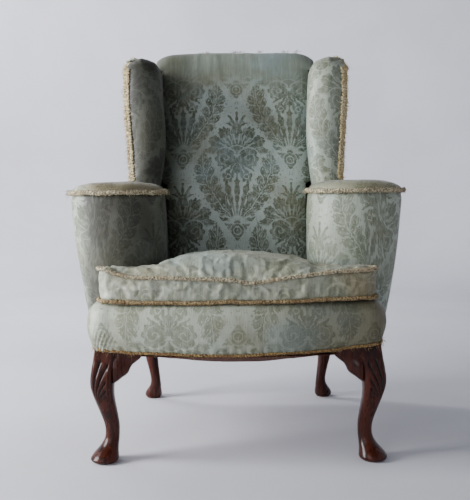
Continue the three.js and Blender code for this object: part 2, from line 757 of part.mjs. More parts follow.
function cushion() {
  const { bottom, top, front } = CUSHION;
  const layer = (inset, z, crown) => cushionOutline(-inset).map(([x, y]) =>
    point(x, y, z + crown * cushionCrown(x, y)));
  const rings = [
    layer(6, bottom, 0), layer(0, bottom + 8, 0), layer(0, top - 8, 0), layer(6, top, 0.2),
    layer(26, top + 6, 0.5),
  ];
  return loft(rings, (ring) => point(0, front + 62, ring[0].z));
}

function cushionWelt(z, outset) {
  const path = cushionOutline(outset).map(([x, y]) => point(x, y, z));
  return braid(new THREE.CatmullRomCurve3(path, true, "centripetal"), 4.2, 4.2, 64, 6, true);
}

// ---- Assembly ----

addPair("front_leg", frontLeg(), POLISHED_WOOD);
addPair("rear_leg", rearLeg(), POLISHED_WOOD);
addPair("front_knee_ear", frontEar(), POLISHED_WOOD);
addPair("side_knee_ear", sideEar(), POLISHED_WOOD);

add("front_rail", frontRail(), FRAME_WOOD);
add("back_rail", backRail(), FRAME_WOOD);
addPair("side_rail", sideRail(), FRAME_WOOD);
addPair("corner_block", cornerBlock(), FRAME_WOOD);
addPair("back_post", backPost(), FRAME_WOOD);
add("top_rail", backBar(940, 990, 22), FRAME_WOOD);
add("lower_back_rail", backBar(400, 440, 0), FRAME_WOOD);
addPair("arm_stump", bar(ARM_STUMP), FRAME_WOOD);
addPair("arm_board", armRail(), FRAME_WOOD);
addPair("wing_post", bar(WING_POST), FRAME_WOOD);
addPair("wing_rail", wingRail(), FRAME_WOOD);

for (const [i, x] of SPRING_X.entries()) {
  add(`webbing_long_${i + 1}`, strap(point(x, -322, 0), point(x, 254, 0), 6.2), JUTE);
}
for (const [i, y] of SPRING_Y.entries()) {
  const end = sideRailOuter(y) - 3;
  add(`webbing_cross_${i + 1}`, strap(point(-end, y, 0), point(end, y, 0), 0), JUTE);
}
for (const [row, y] of SPRING_Y.entries()) {
  for (const [column, x] of SPRING_X.entries()) {
    add(`seat_spring_${row * 3 + column + 1}`, spring(x, y), SPRING_STEEL);
  }
}
add("bottom_cloth", bottomCloth(), BOTTOM_CLOTH);

add("seat_pad", seatPad(), DAMASK);
add("seat_braid", seatBraid(), BRAID);
add("back_pad", backPad(), DAMASK);
add("outside_back", outsideBack(), DAMASK);
addPair("arm_pad", armPad(), DAMASK);
addPair("outside_arm", outsideArm(), DAMASK);
addPair("arm_top", armTop(), FADED_DAMASK);
addPair("arm_braid", armBraid(), BRAID);
addPair("wing_pad", wingPad(), DAMASK);
addPair("outside_wing", outsideWing(), DAMASK);
addPair("wing_braid", wingBraid(), BRAID);
add("cushion", cushion(), FADED_DAMASK);
add("cushion_welt_top", cushionWelt(CUSHION.top + 2, 3.6), BRAID);
add("cushion_welt_bottom", cushionWelt(CUSHION.bottom + 3, 5.4), BRAID);

export default chair;
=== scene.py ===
import json
import math

import bpy
import numpy as np
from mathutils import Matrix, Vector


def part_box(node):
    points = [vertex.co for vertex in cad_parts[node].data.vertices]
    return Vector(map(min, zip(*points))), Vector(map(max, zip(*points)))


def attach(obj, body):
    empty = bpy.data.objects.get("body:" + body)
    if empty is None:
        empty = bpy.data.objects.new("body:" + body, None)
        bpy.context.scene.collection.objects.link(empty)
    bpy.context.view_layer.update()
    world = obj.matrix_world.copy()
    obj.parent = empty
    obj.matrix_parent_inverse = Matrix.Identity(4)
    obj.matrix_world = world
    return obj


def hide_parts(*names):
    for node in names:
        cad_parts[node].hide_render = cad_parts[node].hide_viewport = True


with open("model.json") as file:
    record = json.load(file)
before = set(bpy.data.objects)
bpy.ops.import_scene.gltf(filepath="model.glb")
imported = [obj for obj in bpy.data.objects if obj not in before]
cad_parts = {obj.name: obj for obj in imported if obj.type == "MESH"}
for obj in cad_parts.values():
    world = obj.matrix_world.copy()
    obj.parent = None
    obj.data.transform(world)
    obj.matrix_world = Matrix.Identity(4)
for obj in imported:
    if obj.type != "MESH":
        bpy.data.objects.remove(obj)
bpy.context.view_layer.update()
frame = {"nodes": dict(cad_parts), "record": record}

# An old wing armchair with worn damask covers. Every soft piece is a surface worked out here in metres:
# a grid of points whose rows run up the piece and whose columns run across or round it. The chair faces
# -Y. Pieces that come in pairs are worked out on the right and mirrored in x for the left.


# ---- Numbers of the frame ----

def low(node):
    """The low corner of a node's box."""
    return np.array(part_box(node)[0])


def high(node):
    """The high corner of a node's box."""
    return np.array(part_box(node)[1])


RAIL_BOTTOM = float(low("front_rail")[2])
DECK_TOP = float(high("seat_pad")[2])
SEAT_FRONT = float(low("seat_pad")[1])
SEAT_SIDE = float(high("seat_pad")[0])
ARM_INNER = float(low("arm_pad_right")[0])
ARM_WIDEST_Y = -0.110
ARM_NOSE = ARM_WIDEST_Y - float(low("arm_pad_right")[1])
ARM_TOP = float(high("arm_pad_right")[2])
WING_TOP = float(high("wing_pad_right")[2])
CUSHION_BOTTOM = float(low("cushion")[2])
RAKE = 0.133  # how far the back leans for each metre of height
BACK_FOOT_Y = 0.262  # the back posts' rear face at the height of the rails' underside
POST_DEPTH = 0.044
COVER_THICK = 0.0035  # an outside panel's cloth with its lining
PANEL_PAST_POST = 0.0024  # how far the outside panels run past the back posts' rear face
ARM_PANEL_Y = -0.0955  # front edge of the panel outside an arm
WING_PANEL_Y = 0.0845  # front edge of the panel outside a wing


def back_plane(z):
    """y of the back posts' rear face: it leans back by RAKE for each metre."""
    return BACK_FOOT_Y + RAKE * (z - RAIL_BOTTOM)


def post_front(z):
    """y of the back posts' front face."""
    return back_plane(z) - POST_DEPTH


# ---- Curves, noise and creases ----

def ease(t):
    """3t^2 - 2t^3 between 0 and 1, flat outside."""
    t = np.clip(t, 0, 1)
    return t * t * (3 - 2 * t)


def mix(a, b, t):
    """a + (b - a) t."""
    return a + (b - a) * t


def through(stations, at):
    """A smooth curve through (x, y) stations read at `at`: cubic Hermite pieces whose slope at each
    station is the mean slope of its neighbours."""
    x, y = np.array(stations, float).T
    slope = np.gradient(y, x)
    i = np.clip(np.searchsorted(x, at) - 1, 0, len(x) - 2)
    h = x[i + 1] - x[i]
    t = np.clip((at - x[i]) / h, 0, 1)
    start = (1 + 2 * t) * (1 - t) ** 2 * y[i] + t * (1 - t) ** 2 * h * slope[i]
    return start + t * t * (3 - 2 * t) * y[i + 1] - t * t * (1 - t) * h * slope[i + 1]


def resampled(line, count):
    """`count` points evenly spaced along a polyline."""
    step = np.linalg.norm(np.diff(line, axis=0), axis=1)
    along = np.concatenate([[0], np.cumsum(step)])
    at = np.linspace(0, along[-1], count)
    return np.stack([np.interp(at, along, line[:, k]) for k in range(line.shape[1])], axis=1)


def smoothed(line, rounds=2):
    """A polyline whose inner points move to the mean of themselves and their neighbours."""
    line = line.copy()
    for _ in range(rounds):
        line[1:-1] = 0.25 * line[:-2] + 0.5 * line[1:-1] + 0.25 * line[2:]
    return line


def smoothed_ring(line, rounds=2):
    """The same round a closed line."""
    for _ in range(rounds):
        line = 0.25 * np.roll(line, 1, 0) + 0.5 * line + 0.25 * np.roll(line, -1, 0)
    return line


def lumps(points, scale, seed=0):
    """Smooth noise from -1 to 1: hashed values at the corners of a cubic lattice, eased between them."""
    p = points * scale + 17.3 * seed
    base = np.floor(p)
    f = p - base
    f = f * f * (3 - 2 * f)
    base = base.astype(np.int64)
    total = np.zeros(p.shape[:-1])
    for corner in range(8):
        step = np.array([corner & 1, corner >> 1 & 1, corner >> 2 & 1])
        q = base + step
        h = (q[..., 0] * 73856093) ^ (q[..., 1] * 19349663) ^ (q[..., 2] * 83492791) ^ (seed * 2654435)
        h = ((h ^ (h >> 13)) * 1274126177) & 0x7FFFFFFF
        h = ((h ^ (h >> 16)) * 668265263) & 0x7FFFFFFF
        share = np.prod(np.where(step == 1, f, 1 - f), axis=-1)
        total += share * (h / 0x3FFFFFFF - 1)
    return total


def creases(points, scale, seed=0, sharp=2.0):
    """Thin ridges where the noise crosses zero: (1 - |noise|)^sharp, from 0 to 1."""
    return (1 - np.abs(lumps(points, scale, seed))) ** sharp


def line_points(*columns):
    """Points from separate x, y and z, spread to one shape first."""
    return np.stack(np.broadcast_arrays(*columns), axis=-1)


def facing(grid, around=False):
    """Unit normals of a grid of points: the cross product of its two directions. `around` says that the
    last column meets the first."""
    if around:
        wide = np.concatenate([grid[:, -1:], grid, grid[:, :1]], axis=1)
        across = wide[:, 2:] - wide[:, :-2]
    else:
        across = np.gradient(grid, axis=1)
    n = np.cross(across, np.gradient(grid, axis=0))
    return n / np.maximum(np.linalg.norm(n, axis=-1, keepdims=True), 1e-12)


def facing_away(grid, row, column, axis):
    """The grid's normals, all turned over if the one at (row, column) points along plus x, y or z."""
    normal = facing(grid)
    return -normal if normal[row, column, axis] > 0 else normal


# ---- Meshes ----

def quads_of(rows, columns, around=False):
    """The quads of a grid, as rows of four point numbers."""
    r = np.arange(rows - 1)[:, None]
    c = np.arange(columns if around else columns - 1)[None, :]
    d = (c + 1) % columns
    corners = [r * columns + c, r * columns + d, (r + 1) * columns + d, (r + 1) * columns + c]
    return np.stack(np.broadcast_arrays(*corners), axis=-1).reshape(-1, 4)


def strip(a, b):
    """Quads between two equally long rows of point numbers."""
    return np.stack([a[1:], a[:-1], b[:-1], b[1:]], axis=-1)


def slab(outer, inner):
    """A closed body between two grids: one grid, the other turned over, and a strip along each edge."""
    rows, columns = outer.shape[:2]
    count = rows * columns
    skin = quads_of(rows, columns)
    number = np.arange(count).reshape(rows, columns)
    first, last, left, right = number[0], number[-1], number[:, 0], number[:, -1]
    faces = [
        skin, skin[:, ::-1] + count,
        strip(first, first + count), strip(last + count, last),
        strip(left + count, left), strip(right, right + count),
    ]
    points = np.concatenate([outer.reshape(-1, 3), inner.reshape(-1, 3)])
    return points, np.concatenate(faces)


def capped(grid):
    """A closed tube from a grid whose columns go round: a fan of triangles over each end."""
    rows, columns = grid.shape[:2]
    hubs = np.stack([grid[0].mean(axis=0), grid[-1].mean(axis=0)])
    points = np.concatenate([grid.reshape(-1, 3), hubs])
    first = np.arange(columns)
    last = first + (rows - 1) * columns
    hub = np.full(columns, rows * columns)
    start = np.stack([hub, np.roll(first, -1), first, first], axis=-1)
    end = np.stack([hub + 1, last, np.roll(last, -1), np.roll(last, -1)], axis=-1)
    return points, np.concatenate([quads_of(rows, columns, True), start, end])


def joined(bodies):
    """Several (points, faces) bodies as one."""
    start, points, faces = 0, [], []
    for p, f in bodies:
        points.append(p)
        faces.append(f + start)
        start += len(p)
    return np.concatenate(points), np.concatenate(faces)


def outward(points, faces):
    """The faces, turned round if the volume they enclose comes out negative."""
    a, b, c, d = (points[faces[:, k]] for k in range(4))
    volume = (a * np.cross(b, c)).sum() + (a * np.cross(c, d)).sum()
    return faces if volume > 0 else faces[:, ::-1]


def build(name, body, cloth=None):
    """A mesh object from (points, faces). A face whose last two numbers are equal is a triangle. `cloth`
    gives each point its place on the flat cloth, in metres; on the carved legs its third number is the share of
    painted shade in the grooves instead."""
    points, faces = body
    faces = outward(points, faces)
    triangle = (faces[:, 2] == faces[:, 3]) | (faces[:, 0] == faces[:, 1])
    keep = np.ones(faces.shape, bool)
    keep[triangle & (faces[:, 2] == faces[:, 3]), 3] = False
    keep[triangle & (faces[:, 0] == faces[:, 1]), 0] = False
    sizes = keep.sum(axis=1)
    corners = faces[keep]
    mesh = bpy.data.meshes.new(name)
    mesh.vertices.add(len(points))
    mesh.vertices.foreach_set("co", points.astype(np.float32).ravel())
    mesh.loops.add(len(corners))
    mesh.loops.foreach_set("vertex_index", corners.astype(np.int32))
    mesh.polygons.add(len(sizes))
    mesh.polygons.foreach_set("loop_start", np.concatenate([[0], np.cumsum(sizes)[:-1]]).astype(np.int32))
    mesh.update(calc_edges=True)
    mesh.polygons.foreach_set("use_smooth", np.ones(len(sizes), bool))
    if cloth is not None:
        lay(mesh, cloth)
    made = bpy.data.objects.new(name, mesh)
    bpy.context.scene.collection.objects.link(made)
    return made


def lay(mesh, cloth):
    """Stores each point's place on the flat cloth, in metres; on the carved legs the third number holds the share
    of painted shade in their grooves.
    """
    stored = mesh.attributes.new("cloth", "FLOAT_VECTOR", "POINT")
    stored.data.foreach_set("vector", cloth.reshape(-1, 3).astype(np.float32).ravel())


def finish_piece(made, node, material):
    """Joins a piece to the frame: its body, the node it stands for and its material."""
    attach(made, "root")
    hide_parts(node)
    made.data.materials.append(material)


def cloth_of(grid):
    """Where each point of a grid lies on the flat cloth: lengths along the columns and up the rows,
    measured from the middle column and the first row."""
    across = np.linalg.norm(np.diff(grid, axis=1), axis=-1)
    across = np.concatenate([np.zeros((len(grid), 1)), np.cumsum(across, axis=1)], axis=1)
    across -= across[:, grid.shape[1] // 2][:, None]
    up = np.linalg.norm(np.diff(grid, axis=0), axis=-1)
    up = np.concatenate([np.zeros((1, grid.shape[1])), np.cumsum(up, axis=0)], axis=0)
    return line_points(across, up, np.zeros_like(up))


def covering(name, outer, inner, side=1):
    """The closed body between a cover's outer grid and its inner one, with the outer one's place on the
    flat cloth stored for both. `side` is -1 for the mirrored piece on the left."""
    mirror = np.array([side, 1, 1])
    cloth = cloth_of(outer)
    return build(name, slab(outer * mirror, inner * mirror), np.stack([cloth, cloth]))


# ---- Shader writing ----

class Field:
    """A number that varies over a surface. Arithmetic on it adds Math nodes."""

    def __init__(self, finish, socket):
        self.finish = finish
        self.socket = socket

    def math(self, operation, *values):
        """The field put through one Math node with other values."""
        return self.finish.field("ShaderNodeMath", {"operation": operation}, [self, *values])

    def __add__(self, other):
        return self.math("ADD", other)

    def __sub__(self, other):
        return self.math("SUBTRACT", other)

    def __mul__(self, other):
        return self.math("MULTIPLY", other)

    def __truediv__(self, other):
        return self.math("DIVIDE", other)

    def __rsub__(self, other):
        return self.finish.field("ShaderNodeMath", {"operation": "SUBTRACT"}, [other, self])

    def __rtruediv__(self, other):
        return self.finish.field("ShaderNodeMath", {"operation": "DIVIDE"}, [other, self])

    def __rpow__(self, other):
        return self.finish.field("ShaderNodeMath", {"operation": "POWER"}, [other, self])

    def __pow__(self, other):
        return self.math("POWER", other)

    __radd__ = __add__
    __rmul__ = __mul__


class Finish:
    """One material: its node tree, its shader, and the one way that nodes are added to it."""

    def __init__(self, name, roughness=0.6, **constants):
        self.material = bpy.data.materials.new(name)
        self.material.use_nodes = True
        self.tree = self.material.node_tree
        self.shader = self.tree.nodes["Principled BSDF"]
        self.shader.inputs["Roughness"].default_value = roughness
        for socket, value in constants.items():
            self.shader.inputs[socket.replace("_", " ")].default_value = value

    def node(self, kind, settings=None, inputs=None):
        """A new node of a kind, with its settings and then its sockets' values or links."""
        made = self.tree.nodes.new(kind)
        for key, value in (settings or {}).items():
            setattr(made, key, value)
        pairs = inputs.items() if isinstance(inputs, dict) else enumerate(inputs or [])
        for key, value in pairs:
            self.feed(made.inputs[key], value)
        return made

    def feed(self, socket, value):
        """Links a field or an output to a socket, or sets the socket's own value."""
        if isinstance(value, Field):
            value = value.socket
        if isinstance(value, bpy.types.NodeSocket):
            self.tree.links.new(value, socket)
        else:
            socket.default_value = value

    def field(self, kind, settings=None, inputs=None, output=0):
        """One output of a new node, as a field."""
        return Field(self, self.node(kind, settings, inputs).outputs[output])

    # Numbers

    def span(self, value, start, end):
        """0 at start, 1 at end, eased between and level outside."""
        settings = {"interpolation_type": "SMOOTHSTEP"}
        return self.field("ShaderNodeMapRange", settings, {"Value": value, "From Min": start, "From Max": end})

    def below(self, value, limit, soft=1.3):
        """1 where value is under limit, 0 where it is over, eased across a band of 2 soft."""
        return self.span(limit - value, -soft, soft)

    def most(self, first, second):
        return first.math("MAXIMUM", second)

    def rib(self, value):
        """|cos(value)|: a row of equal humps."""
        return value.math("COSINE").math("ABSOLUTE")

    def cosine(self, value):
        return value.math("COSINE")

    def size(self, value):
        return value.math("ABSOLUTE")

    def polar(self, x, y, cx, cy):
        """Distance from (cx, cy) and angle from straight up."""
        dx, dy = x - cx, y - cy
        return (dx * dx + dy * dy).math("SQRT"), dx.math("ARCTAN2", dy)

    def noise(self, place, scale, detail=3.0, rough=0.55):
        """Cloudy noise about 0.5 that varies 1 / scale metres at a time."""
        inputs = {"Vector": place, "Scale": scale, "Detail": detail, "Roughness": rough}
        return self.field("ShaderNodeTexNoise", None, inputs)

    def cells(self, place, scale):
        """Distance to the border of the nearest of many random cells."""
        inputs = {"Vector": place, "Scale": scale}
        return self.field("ShaderNodeTexVoronoi", {"feature": "DISTANCE_TO_EDGE"}, inputs)

    def place(self, x, y, z=0.0):
        """A place made from three numbers."""
        return self.field("ShaderNodeCombineXYZ", None, [x, y, z])

    def split(self, vector):
        """The three numbers of a place."""
        made = self.node("ShaderNodeSeparateXYZ", None, [vector])
        return [Field(self, made.outputs[k]) for k in range(3)]

    def object_place(self):
        """The place on the chair, in metres."""
        return self.field("ShaderNodeTexCoord", None, None, "Object")

    def cloth_place(self):
        """The place stored for each point, which is where it lies on the flat cloth."""
        return self.field("ShaderNodeAttribute", {"attribute_name": "cloth"}, None, "Vector")

    # Colours

    def blend(self, share, first, second, way="MIX"):
        """The first colour where share is 0 and the second where it is 1."""
        made = self.node("ShaderNodeMix", {"data_type": "RGBA", "blend_type": way})
        for name, value in (("Factor_Float", share), ("A_Color", first), ("B_Color", second)):
            socket = next(s for s in made.inputs if s.identifier == name)
            self.feed(socket, value if not isinstance(value, tuple) or len(value) == 4 else (*value, 1.0))
        return next(s for s in made.outputs if s.identifier == "Result_Color")

    def done(self, colour=None, roughness=None, height=None, strength=0.3, distance=0.001):
        """The material, once its colour, roughness and bump height are linked."""
        if colour is not None:
            self.feed(self.shader.inputs["Base Color"], colour)
        if roughness is not None:
            self.feed(self.shader.inputs["Roughness"], roughness)
        if height is not None:
            inputs = {"Strength": strength, "Distance": distance, "Height": height}
            bump = self.node("ShaderNodeBump", None, inputs)
            self.feed(self.shader.inputs["Normal"], bump.outputs[0])
        return self.material


def srgb(r, g, b):
    """Linear colour of an 8-bit one, as the shaders want it."""
    shares = [c / 255 for c in (r, g, b)]
    return tuple(round(c / 12.92 if c < 0.0412 else ((c + 0.055) / 1.055) ** 2.4, 5) for c in shares)


# ---- Materials ----

REPEAT = (312.0, 430.0)  # width and height of the damask's repeat, mm


def damask_figure(f, u, v):
    """How much of each point is covered by the woven figure, from 0 to 1.

    The cloth is parted into a half-drop lattice of diamonds, and each is mirrored about its upright
    middle. In one diamond, in millimetres, stand a palmette with a crown over it and two scrolls at its
    foot, a stem with curls, two leafy plumes that rise from one point, and a small knot below."""
    wide, high = REPEAT
    x = u * 1000.0 - (u * (1000.0 / wide) + 0.5).math("FLOOR") * wide
    y = v * 1000.0 - (v * (1000.0 / high) + 0.5).math("FLOOR") * high
    ax = f.size(x)
    far = (ax / (wide / 2) + f.size(y) / (high / 2)).math("GREATER_THAN", 1.0)
    x = f.size(ax - far * (wide / 2))
    y = y - far * y.math("SIGN") * (high / 2) - 20.0
    # Small mirrored wanderings, the same in every repeat, make the drawn edges leafy.
    near = f.place(x * 0.055, y * 0.055)
    sway = f.noise(near, 1.0, 3.0, 0.65) - 0.5
    lift = f.noise(f.place(x * 0.055, y * 0.055, 7.0), 1.0, 3.0, 0.65) - 0.5
    x = f.size(x + sway * 15.0)
    y = y + lift * 18.0
    # The palmette: a fan of frilled lobes parted by pale seams, with a striped flame in its middle.
    r, a = f.polar(x, y, 0.0, 22.0)
    lobe = f.rib(a * 6.4)
    body = f.below(r, lobe ** 0.5 * 24 + f.rib(a * 23.0) * 7 + 66) * f.below(a, 1.5, 0.04)
    seam = f.below(lobe * r, 7.0, 3.0) * f.span(r, 40.0, 52.0)
    petal = f.below(f.rib(a * 6.4 + 1.5708) * r, 4.0, 2.0) * f.span(r, 56.0, 62.0) * f.below(r, 80.0)
    stripes = f.span(f.cosine(a * 24.0), -0.15, -0.55)
    flame = stripes * f.span(r, 30.0, 38.0) * f.below(r, 64.0, 3.0) * f.below(a, 1.0, 0.06)
    ring = f.below(f.size(r - 28.0), 2.2, 0.8) * f.below(a, 1.2, 0.08)
    figure = body * (1.0 - f.most(f.most(seam, flame), f.most(ring, petal)) * 0.8)
    # Two scrolls at its foot, each set off by a pale outline.
    r, a = f.polar(x, y, 34.0, 10.0)
    scroll = f.below(r, f.rib(a * 4.0) * 7 + 24)
    outline = f.below(f.size(r - 33.0), 2.4, 0.8)
    turn = f.span(f.cosine(r * 0.42 - a + 0.6), 0.6, 0.84) * f.below(r, 22.0, 2.0)
    figure = f.most(figure * (1.0 - outline * 0.8), scroll * (1.0 - turn * 0.7))
    # Pointed leaves that droop below them, and the crown above.
    r, a = f.polar(x, y, 0.0, 6.0)
    figure = f.most(figure, f.below(r, f.rib(a * 9.5 + 1.2) * 62) * f.span(a, 1.9, 2.0))
    r, a = f.polar(x, y, 0.0, 106.0)
    figure = f.most(figure, f.below(r, f.rib(a * 5.4) * (52.0 - a * 14.0)) * f.below(a, 1.5, 0.05))
    # Two plumes along a bent line, twice lobed at both edges, with a pale rib and pale slits.
    r, a = f.polar(x, y, 0.0, -178.0)
    off = f.size((a - 0.80 + r * 0.0006 + r * r * 0.0000040) * r)
    lobe = f.rib((r - off * 0.8) * 0.105)
    small = f.rib((r - off * 1.1) * 0.33)
    half = (lobe ** 0.6 * 13.0 + small * 5.0 + 15.0) * f.span(r, 4.0, 80.0) * f.span(r, 236.0, 200.0)
    vein = f.most(f.below(off, 1.5, 0.8), f.below(lobe, 0.2, 0.1) * f.span(off, 4.0, 8.0))
    slit = f.span(f.cosine(r * 0.33 - off * 0.3) * f.cosine(off * 0.4 - 2.7), 0.5, 0.8)
    figure = f.most(figure, f.below(off, half) * (1.0 - f.most(vein, slit) * 0.8))
    # Fans of narrow leaves between and under them.
    rib = f.rib(a * 12.0)
    fan = f.span(rib, 0.45, 0.72) * f.span(r, 17.0, 27.0) * f.below(r, rib * rib * 34.0 + 96 - a * 20.0)
    figure = f.most(figure, fan * f.below(a, 0.62, 0.04))
    under = f.span(f.rib(a * 7.0), 0.5, 0.8) * f.span(r, 20.0, 30.0) * f.below(r, f.rib(a * 7.0) * 44.0 + 20)
    figure = f.most(figure, under * f.span(a, 0.9, 1.0) * f.below(a, 2.3, 0.05))
    # The stem with a curl at each side, and the knot.
    bead = f.below(x, f.cosine(y * 0.21) * 3.5 + 4) * f.below(f.size(y + 26.0), 38.0)
    r, a = f.polar(x, y, 27.0, -46.0)
    curl = f.below(r, f.rib(a * 2.5) * 6 + 12) * (1.0 - f.below(f.size(r - 6.5), 1.6, 0.7) * 0.9)
    figure = f.most(figure, f.most(bead, curl))
    r, a = f.polar(x, y, 0.0, -202.0)
    knot = f.below(r, f.rib(a * 3.0) * 13 + 19) * (1.0 - f.span(f.cosine(r * 0.6), 0.3, 0.7) * 0.8)
    figure = f.most(figure, knot)
    # Pale veins part the larger leaves, and small sprigs stand in the ground near them.
    edge = f.cells(f.place(x * 0.085, y * 0.055), 1.0)
    sprig = f.below(0.24, edge, 0.04) * f.span(f.noise(near, 2.2, 1.0), 0.50, 0.58)
    return f.most(figure * (1.0 - f.below(edge, 0.04, 0.02) * 0.40), sprig * 0.75)


def damask_finish(name, ground, figure, browned, shift=(0.0, 0.0), strength=1.0, worn=0.5, painted_shade=None, top=None,
                  hole=None):
    """Two-tone damask: the figure matt and darker, the ground satin and paler; upright threads; broad
    patches bluish, browned or worn, where the figure fades. Painted shade across x is given as (x at which it
    starts, x at which it is full, its colour), standing in for the window light's fall-off and the wings'
    shadows; `top` the two heights between which the figure wears away; `hole` the place of a small dark tear."""
    f = Finish(name, 0.6, Sheen_Weight=0.12, Sheen_Roughness=0.4)
    u, v, _ = f.split(f.cloth_place())
    u = u + shift[0]
    v = v + shift[1]
    where = f.object_place()
    x, y, z = f.split(where)
    wander = f.noise(where, 9.0, 3.0) - 0.5
    pattern = damask_figure(f, u + wander * 0.006, v + wander * 0.008)
    threads = f.noise(f.place(u * 900, v * 34), 1.0, 2.0, 0.5)
    streaks = f.noise(f.place(u * 130, v * 7), 1.0, 3.0, 0.6)
    slubs = f.noise(f.place(u * 60, v * 700), 1.0, 2.0, 0.5)
    patches = f.noise(where, 5.5, 4.0, 0.6)
    other = f.noise(f.place(x * 4 + 9, y * 4, z * 4), 1.0, 3.0, 0.6)
    fine_wear = f.noise(where, 60.0, 4.0, 0.7)
    kept = f.span(patches, 0.30, 0.52) * worn + (1.0 - worn)
    if top is not None:
        kept = kept * f.span(z + wander * 0.05, top[1], top[0])
    shown = pattern * kept * strength * (f.span(fine_wear, 0.30, 0.58) * 0.4 + 0.6)
    shown = shown + (1.0 - kept) * 0.7
    colour = f.blend(shown, ground, figure)
    colour = f.blend(f.span(other, 0.50, 0.66) * 0.40, colour, srgb(132, 156, 160))
    colour = f.blend(f.span(patches, 0.50, 0.68) * 0.50, colour, browned)
    colour = f.blend(f.span(streaks, 0.45, 0.75) * 0.26, colour, srgb(190, 196, 182))
    colour = f.blend(f.span(threads, 0.45, 0.80) * 0.45, colour, srgb(74, 78, 64))
    colour = f.blend(f.span(slubs, 0.60, 0.85) * 0.16, colour, srgb(200, 200, 184))
    # Painted shade: the colour is multiplied darker from one x to another. It stands in for the window light
    # falling off across the chair and for the wings' shadows, and the cloth stays unshaded where the ramp starts.
    if painted_shade is not None:
        painted_shade_share = f.span(x + wander * 0.06, painted_shade[0], painted_shade[1]) * (f.span(patches, 0.62, 0.42) * 0.15 + 0.85)
        colour = f.blend(painted_shade_share, colour, painted_shade[2], "MULTIPLY")
    if hole is not None:
        dx, dy, dz = x - hole[0], y - hole[1], z - hole[2]
        gap = (dx * dx + dy * dy + dz * dz).math("SQRT") + (fine_wear - 0.5) * 0.012
        colour = f.blend(f.below(gap, 0.0065, 0.0015), colour, srgb(40, 30, 20))
    rough = shown * 0.16 + threads * 0.15 + 0.42
    height = threads * 0.5 + slubs * 0.3 + pattern * 0.5
    return f.done(colour, rough, height, 0.35, 0.0006)


def braid_finish(name, dark, light, stained):
    """Worn cotton with broad stained stretches; its tone follows the height of its loops, with painted shade
    between them and a painted highlight on them.
    """
    f = Finish(name, 0.85)
    place = f.object_place()
    fine = f.noise(place, 260.0, 2.0)
    broad = f.noise(place, 22.0, 3.0)
    # Painted shade and highlight: dark where the loops' bump height is low, light where it is high.
    colour = f.blend(f.span(fine, 0.3, 0.7), dark, light)
    colour = f.blend(f.span(broad, 0.45, 0.7) * 0.7, colour, stained)
    return f.done(colour, None, fine, 0.8, 0.002)


def polished_finish(name):
    """Dark polished wood with an upright grain, with near-black painted shade in the bottoms of carved grooves,
    whose depth from 0 to 1 is the third number of the piece's stored places."""
    f = Finish(name, 0.3, Coat_Weight=0.06, Coat_Roughness=0.15, Specular_IOR_Level=0.22)
    x, y, z = f.split(f.object_place())
    grain = f.noise(f.place(x * 60, y * 60, z * 5), 1.0, 5.0, 0.6)
    colour = f.blend(f.span(grain, 0.25, 0.75), srgb(28, 10, 6), srgb(74, 29, 14))
    # Painted shade: near black in the bottoms of the carved grooves, from the third stored number.
    colour = f.blend(f.split(f.cloth_place())[2] * 0.9, colour, srgb(10, 4, 4))
    rough = f.span(grain, 0.2, 0.8) * 0.14 + 0.2
    return f.done(colour, rough, grain, 0.05, 0.001)


def plain_finish(name, dark, light, scale, roughness, metallic=0.0):
    """Two shades mottled by noise."""
    f = Finish(name, roughness, Metallic=metallic)
    n = f.noise(f.object_place(), scale, 4.0)
    return f.done(f.blend(f.span(n, 0.3, 0.7), dark, light), None, n, 0.2, 0.001)


GROUND, FIGURE, BROWNED = srgb(160, 168, 152), srgb(104, 110, 90), srgb(118, 114, 84)
damask = damask_finish("damask", GROUND, FIGURE, BROWNED)
# The left arm, its cap and the left wing carry painted shade inward of their outer edges. Those edges are left
# unshaded, where the window light strikes, and on the cap the painted shade is browner.
shaded_arm = damask_finish("shaded_arm_damask", GROUND, FIGURE, BROWNED, painted_shade=(-0.400, -0.350, srgb(92, 86, 72)))
shaded_cap = damask_finish("shaded_cap_damask", srgb(178, 180, 160), srgb(122, 124, 98), BROWNED, (0.05, 0.1),
                           0.9, 0.4, painted_shade=(-0.42, -0.33, srgb(176, 160, 134)))
torn_wing = damask_finish("torn_wing_damask", GROUND, FIGURE, BROWNED, hole=(0.2900, 0.046, 0.893))
shaded_wing = damask_finish("shaded_wing_damask", GROUND, FIGURE, BROWNED, painted_shade=(-0.305, -0.285, srgb(76, 72, 60)))
# The seat's border carries painted shade that deepens from x = -0.12 m to x = 0.36 m on the right, for the window
# light falling off.
border_damask = damask_finish("border_damask", srgb(172, 178, 160), srgb(120, 126, 104), BROWNED, (0.0, 0.12),
                              painted_shade=(-0.12, 0.36, srgb(150, 136, 108)))
# The back carries painted shade on its left, starting at x = -0.08 m and full from x = -0.20 m, where the left
# wing's shadow falls.
back_damask = damask_finish("back_damask", srgb(176, 188, 180), srgb(84, 92, 72), srgb(112, 108, 80), (0, 0.07),
                            worn=0.25, painted_shade=(-0.08, -0.20, srgb(160, 156, 140)), top=(0.89, 1.0))
